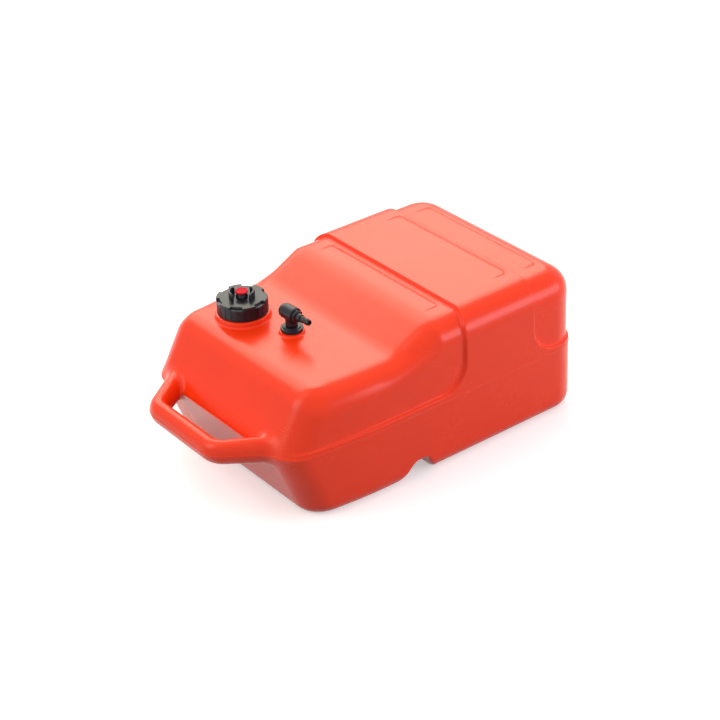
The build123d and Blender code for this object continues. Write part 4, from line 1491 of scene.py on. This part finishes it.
@dataclass(frozen=True)
class MouldedPlastic:
    """A moulded plastic: cloudy colour, pebbled skin, hairline scuffs and a little dust."""

    name: str
    colour: Colour
    deep: Colour
    rubbed: Colour
    roughness: tuple[float, float]
    pebble: float
    wave: float
    relief: float
    glow: float = 0.0
    glow_reach: float = 0.004
    scuff: float = 0.25
    dust: float = 0.12
    coat: float = 0.0
    ior: float = 1.5
    shine: float = 0.5

    def material(self, effects: Effects) -> bpy.types.Material:
        """Builds the material.

        Args:
            effects: The shared effects.

        Returns:
            The material.
        """
        material, graph, where, shader = start_material(self.name)
        grain = graph.effect(effects.grain, Vector=where, Pebble=self.pebble, Wave=self.wave)
        scuffs = graph.effect(effects.scuffs, Vector=where, Spacing=48.0, Amount=self.scuff)
        dust = graph.effect(effects.dust, Vector=where, Grain=1100.0, Amount=self.dust)
        cloud = graph.span(grain.outputs["Mottle"], 0.36, 0.64)
        body = graph.tint(cloud, opaque(self.deep), opaque(self.colour))
        worn = graph.tint(scuffs.outputs["Mask"], body, opaque(self.rubbed))
        dusty = graph.tint(dust.outputs["Mask"], worn, (0.62, 0.6, 0.58, 1.0))
        graph.feed(shader.inputs["Base Color"], dusty)
        low, high = self.roughness
        rough = graph.span(grain.outputs["Mottle"], 0.3, 0.7, low, high)
        rough = graph.math("ADD", rough, graph.math("MULTIPLY", scuffs.outputs["Mask"], 0.3), True)
        graph.feed(shader.inputs["Roughness"], rough)
        bump = graph.add("Bump", None, Strength=1.0, Distance=self.relief, Height=grain.outputs["Height"])
        graph.feed(shader.inputs["Normal"], bump.outputs[0])
        shader.inputs["IOR"].default_value = self.ior
        shader.inputs["Specular IOR Level"].default_value = self.shine
        shader.inputs["Coat Weight"].default_value = self.coat
        if self.glow:
            shader.inputs["Subsurface Weight"].default_value = self.glow
            shader.inputs["Subsurface Radius"].default_value = (1.0, 0.22, 0.08)
            shader.inputs["Subsurface Scale"].default_value = self.glow_reach
        return material


@dataclass(frozen=True)
class SealRubber:
    """Matt black rubber with a pale bloom in patches."""

    name: str = "black_seal_rubber"
    colour: Colour = (0.022, 0.022, 0.023)
    bloom: Colour = (0.085, 0.083, 0.08)

    def material(self, effects: Effects) -> bpy.types.Material:
        """Builds the material.

        Args:
            effects: The shared effects.

        Returns:
            The material.
        """
        material, graph, where, shader = start_material(self.name)
        grain = graph.effect(effects.grain, Vector=where, Pebble=1600.0, Wave=60.0)
        share = graph.span(grain.outputs["Mottle"], 0.45, 0.75)
        graph.feed(shader.inputs["Base Color"], graph.tint(share, opaque(self.colour), opaque(self.bloom)))
        graph.feed(shader.inputs["Roughness"], graph.span(grain.outputs["Mottle"], 0.3, 0.7, 0.62, 0.85))
        bump = graph.add("Bump", None, Strength=0.6, Distance=0.0003, Height=grain.outputs["Height"])
        graph.feed(shader.inputs["Normal"], bump.outputs[0])
        return material


@dataclass(frozen=True)
class SpringSteel:
    """Bright spring steel with rolled streaks and small dull spots."""

    name: str = "spring_steel"
    colour: Colour = (0.6, 0.59, 0.57)
    dull: Colour = (0.33, 0.31, 0.29)

    def material(self, effects: Effects) -> bpy.types.Material:
        """Builds the material.

        Args:
            effects: The shared effects.

        Returns:
            The material.
        """
        material, graph, where, shader = start_material(self.name)
        stretch = graph.add("Mapping", None, Vector=where, Scale=(1.0, 14.0, 1.0))
        streak = graph.noise(stretch.outputs[0], 420.0, 2.0)
        grain = graph.effect(effects.grain, Vector=where, Pebble=2200.0, Wave=90.0)
        spots = graph.span(grain.outputs["Mottle"], 0.55, 0.72)
        graph.feed(shader.inputs["Base Color"], graph.tint(spots, opaque(self.colour), opaque(self.dull)))
        graph.feed(shader.inputs["Roughness"], graph.span(streak, 0.3, 0.7, 0.22, 0.42))
        shader.inputs["Metallic"].default_value = 1.0
        bump = graph.add("Bump", None, Strength=0.5, Distance=0.00005, Height=streak)
        graph.feed(shader.inputs["Normal"], bump.outputs[0])
        return material


@dataclass(frozen=True)
class WireScreen:
    """Fine square-woven wire wrapped round the strainer, its openings painted near-black as painted shade."""

    name: str = "wire_screen"
    centre: tuple[float, float] = (-0.09025, 0.0)
    around: float = 44.0
    upward: float = 1050.0
    wire: Colour = (0.56, 0.55, 0.53)
    # painted shade: the near-black colour of the openings, standing for the dark seen through them
    gap: Colour = (0.012, 0.012, 0.012)

    def material(self, effects: Effects) -> bpy.types.Material:
        """Builds the material.

        Args:
            effects: The shared effects.

        Returns:
            The material.
        """
        material, graph, where, shader = start_material(self.name)
        split = graph.add("SeparateXYZ", None, Vector=where)
        x = graph.math("SUBTRACT", split.outputs[0], self.centre[0])
        y = graph.math("SUBTRACT", split.outputs[1], self.centre[1])
        turn = graph.math("MULTIPLY", graph.math("ARCTAN2", y, x), self.around / 2)
        climb = graph.math("MULTIPLY", split.outputs[2], self.upward * math.pi)
        round_wires = graph.math("ABSOLUTE", graph.math("SINE", climb))
        tall_wires = graph.math("ABSOLUTE", graph.math("SINE", turn))
        height = graph.math("MAXIMUM", round_wires, tall_wires)
        solid = graph.span(height, 0.55, 0.72)
        grain = graph.effect(effects.grain, Vector=where, Pebble=2600.0, Wave=120.0)
        # the openings get the painted-shade colour and the wires their own
        graph.feed(shader.inputs["Base Color"], graph.tint(solid, opaque(self.gap), opaque(self.wire)))
        graph.feed(shader.inputs["Metallic"], solid)
        graph.feed(shader.inputs["Roughness"], graph.span(grain.outputs["Mottle"], 0.3, 0.7, 0.3, 0.5))
        bump = graph.add("Bump", None, Strength=0.8, Distance=0.0002, Height=height)
        graph.feed(shader.inputs["Normal"], bump.outputs[0])
        return material


TANK_SKIN = MouldedPlastic(
    name="tank_red_skin",
    colour=(0.93, 0.040, 0.002),
    deep=(0.89, 0.036, 0.002),
    rubbed=(0.93, 0.16, 0.09),
    roughness=(0.22, 0.29),
    pebble=620.0,
    wave=13.0,
    relief=0.0004,
    glow=0.05,
    scuff=0.03,
    dust=0.02,
    shine=0.32,
)
FITTING_BLACK = MouldedPlastic(
    name="fitting_black_plastic",
    colour=(0.009, 0.0095, 0.017),
    deep=(0.005, 0.0055, 0.011),
    rubbed=(0.11, 0.105, 0.11),
    roughness=(0.24, 0.36),
    pebble=1500.0,
    wave=70.0,
    relief=0.0002,
    scuff=0.25,
    dust=0.05,
    shine=0.34,
)
KNOB_RED = MouldedPlastic(
    name="knob_red_plastic",
    colour=(0.62, 0.006, 0.022),
    deep=(0.54, 0.004, 0.016),
    rubbed=(0.8, 0.12, 0.14),
    roughness=(0.5, 0.6),
    pebble=1500.0,
    wave=90.0,
    relief=0.00012,
    glow=0.05,
    glow_reach=0.0015,
    scuff=0.15,
    dust=0.02,
    shine=0.08,
)
NATURAL_PLASTIC = MouldedPlastic(
    name="natural_plastic",
    colour=(0.76, 0.74, 0.66),
    deep=(0.66, 0.63, 0.53),
    rubbed=(0.86, 0.85, 0.8),
    roughness=(0.42, 0.56),
    pebble=1200.0,
    wave=50.0,
    relief=0.00025,
    glow=0.25,
    glow_reach=0.003,
    scuff=0.2,
    dust=0.0,
)


@dataclass
class Wardrobe:
    """Every finish, built once."""

    effects: Effects = field(default_factory=Effects)
    made: dict[str, bpy.types.Material] = field(default_factory=dict)

    def get(self, finish: "MouldedPlastic | SealRubber | SpringSteel | WireScreen") -> bpy.types.Material:
        """The material of a finish."""
        if finish.name not in self.made:
            self.made[finish.name] = finish.material(self.effects)
        return self.made[finish.name]

    def dress_node(self, node: bpy.types.Object, material: bpy.types.Material) -> None:
        """Gives a CAD node a better material in each of its slots."""
        if not node.material_slots:
            node.data.materials.append(material)
        for slot in node.material_slots:
            slot.material = material
        LOG.info("%s keeps its shape and wears %s", node.name, material.name)


# ---------------------------------------------------------------- the studio
@dataclass(frozen=True)
class Softbox:
    """A soft lamp that faces the object."""

    name: str
    azimuth: float
    elevation: float
    distance: float
    width: float
    height: float
    radiance: float
    colour: Colour = (1.0, 1.0, 1.0)

    def build(self, target: Vector) -> bpy.types.Object:
        """Hangs the lamp.

        Args:
            target: What it faces.

        Returns:
            The lamp's object.
        """
        lamp = bpy.data.lights.new(self.name, "AREA")
        lamp.shape = "RECTANGLE"
        lamp.size, lamp.size_y = self.width, self.height
        lamp.energy = self.radiance * math.pi * self.width * self.height
        lamp.color = self.colour
        turn, rise = math.radians(self.azimuth), math.radians(self.elevation)
        flat = math.cos(rise)
        towards = Vector((flat * math.cos(turn), flat * math.sin(turn), math.sin(rise)))
        hung = bpy.data.objects.new(self.name, lamp)
        hung.location = target + towards * self.distance
        hung.rotation_euler = (-towards).to_track_quat("-Z", "Y").to_euler()
        bpy.context.scene.collection.objects.link(hung)
        return hung


@dataclass
class Studio:
    """The plain floor, the lamps, the surroundings and the camera."""

    target: Vector = field(default_factory=lambda: Vector((0.0, 0.0, 0.1)))
    floor_size: float = 9.0
    floor_seen: Colour = (0.80, 0.80, 0.80)
    floor_bounce: Colour = (0.10, 0.10, 0.10)
    floor_lift: float = 0.42
    ambient: float = 0.74
    boxes: tuple[Softbox, ...] = (
        Softbox("back_box", 66, 40, 2.4, 2.6, 1.6, 3.1, (1.0, 0.97, 0.76)),
        Softbox("side_box", 312, 15, 2.3, 1.5, 0.9, 4.9, (1.0, 0.8, 0.9)),
        Softbox("front_box", 166, 34, 2.4, 1.1, 1.5, 3.0, (1.0, 0.9, 0.8)),
        Softbox("top_box", 150, 68, 2.4, 1.3, 1.0, 0.8),
    )
    camera_place: tuple[float, float, float] = (-1.43035, -1.9514, 1.5520)
    camera_right: tuple[float, float, float] = (0.7877, -0.6148, -0.0378)
    camera_up: tuple[float, float, float] = (0.3418, 0.3852, 0.8572)
    lens: float = 100.23

    def lay_floor(self) -> None:
        """Lays a pale floor that keeps the object's shadow."""
        bm = bmesh.new()
        bmesh.ops.create_grid(bm, x_segments=2, y_segments=2, size=self.floor_size / 2)
        mesh = bpy.data.meshes.new("floor")
        bm.to_mesh(mesh)
        bm.free()
        floor = bpy.data.objects.new("floor", mesh)
        bpy.context.scene.collection.objects.link(floor)
        material = bpy.data.materials.new("pale_floor")
        material.use_nodes = True
        graph = Graph(material.node_tree)
        material.node_tree.nodes.remove(material.node_tree.nodes["Principled BSDF"])
        seen = self.seen(graph, graph.add("LightPath"))
        shade = graph.tint(seen, opaque(self.floor_bounce), opaque(self.floor_seen))
        matt = graph.add("BsdfDiffuse", None, Color=shade)
        lift = graph.math("MULTIPLY", seen, self.floor_lift)
        glow = graph.add("Emission", None, Color=(1.0, 1.0, 1.0, 1.0), Strength=lift)
        both = graph.add("AddShader")
        graph.feed(both.inputs[0], matt.outputs[0])
        graph.feed(both.inputs[1], glow.outputs[0])
        graph.feed(material.node_tree.nodes["Material Output"].inputs["Surface"], both.outputs[0])
        mesh.materials.append(material)

    @staticmethod
    def seen(graph: Graph, light: bpy.types.Node):
        """1 where a thing is seen directly, in a reflection or through glass."""
        direct = graph.math("MAXIMUM", light.outputs["Is Camera Ray"], light.outputs["Is Glossy Ray"])
        return graph.math("MAXIMUM", direct, light.outputs["Is Transmission Ray"])

    def set_surroundings(self) -> None:
        """White wherever they are seen, and a plain soft light elsewhere."""
        world = bpy.data.worlds.new("surroundings")
        bpy.context.scene.world = world
        world.use_nodes = True
        graph = Graph(world.node_tree)
        light = graph.add("LightPath")
        strength = graph.span(self.seen(graph, light), 0.0, 1.0, self.ambient, 1.0)
        backdrop = world.node_tree.nodes["Background"]
        backdrop.inputs["Color"].default_value = (1.0, 1.0, 1.0, 1.0)
        graph.feed(backdrop.inputs["Strength"], strength)

    def place_camera(self) -> None:
        """Stands the camera and makes it the scene's."""
        right, up = Vector(self.camera_right), Vector(self.camera_up)
        back = right.cross(up).normalized()
        up = back.cross(right).normalized()
        axes = Matrix((right.normalized(), up, back)).transposed().to_4x4()
        data = bpy.data.cameras.new("camera")
        data.lens, data.sensor_width = self.lens, 36.0
        data.clip_start, data.clip_end = 0.1, 50.0
        camera = bpy.data.objects.new("camera", data)
        camera.matrix_world = Matrix.Translation(self.camera_place) @ axes
        bpy.context.scene.collection.objects.link(camera)
        bpy.context.scene.camera = camera

    def build(self) -> None:
        """Sets up everything round the object."""
        bpy.context.scene.view_settings.view_transform = "Standard"
        self.place_camera()
        self.lay_floor()
        self.set_surroundings()
        for box in self.boxes:
            box.build(self.target)


# ---------------------------------------------------------------- the whole tank
NODE_FINISHES = {
    "cap_liner": NATURAL_PLASTIC,
    "cap_gasket": SealRubber(),
    "vent_seal": SealRubber(),
    "vent_clip": SpringSteel(),
    "elbow_rings": SealRubber(),
    "pickup_tube": NATURAL_PLASTIC,
    "strainer_cage": FITTING_BLACK,
    "strainer_screen": WireScreen(),
}


def main() -> None:
    """Builds the scene piece by piece."""
    logging.basicConfig(level=logging.INFO, format="%(name)s: %(message)s")
    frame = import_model()
    Studio().build()
    wardrobe = Wardrobe()
    red, black = wardrobe.get(TANK_SKIN), wardrobe.get(FITTING_BLACK)
    rubber = wardrobe.get(SealRubber())

    fit(TankShell().build(), Body.TANK, "tank_shell", red)
    fit(FillerCap().build(), Body.CAP, "cap_shell", black)
    vent = VentScrew()
    fit(vent.build_screw(), Body.VENT, "vent_screw", black)
    fit(vent.build_knob(), Body.VENT, "vent_knob", wardrobe.get(KNOB_RED))
    outlet = OutletFitting()
    fit(outlet.build_gasket(), Body.TANK, "outlet_gasket", rubber)
    fit(outlet.build_base(), Body.TANK, "outlet_base", black)
    fit(outlet.build_elbow(), Body.ELBOW, "elbow", black)
    fit(outlet.build_washer(), Body.ELBOW, "barb_seal", rubber)
    fit(outlet.build_barb(), Body.ELBOW, "hose_barb", black)
    for name, finish in NODE_FINISHES.items():
        wardrobe.dress_node(frame["nodes"][name], wardrobe.get(finish))


if __name__ == "__main__":
    main()
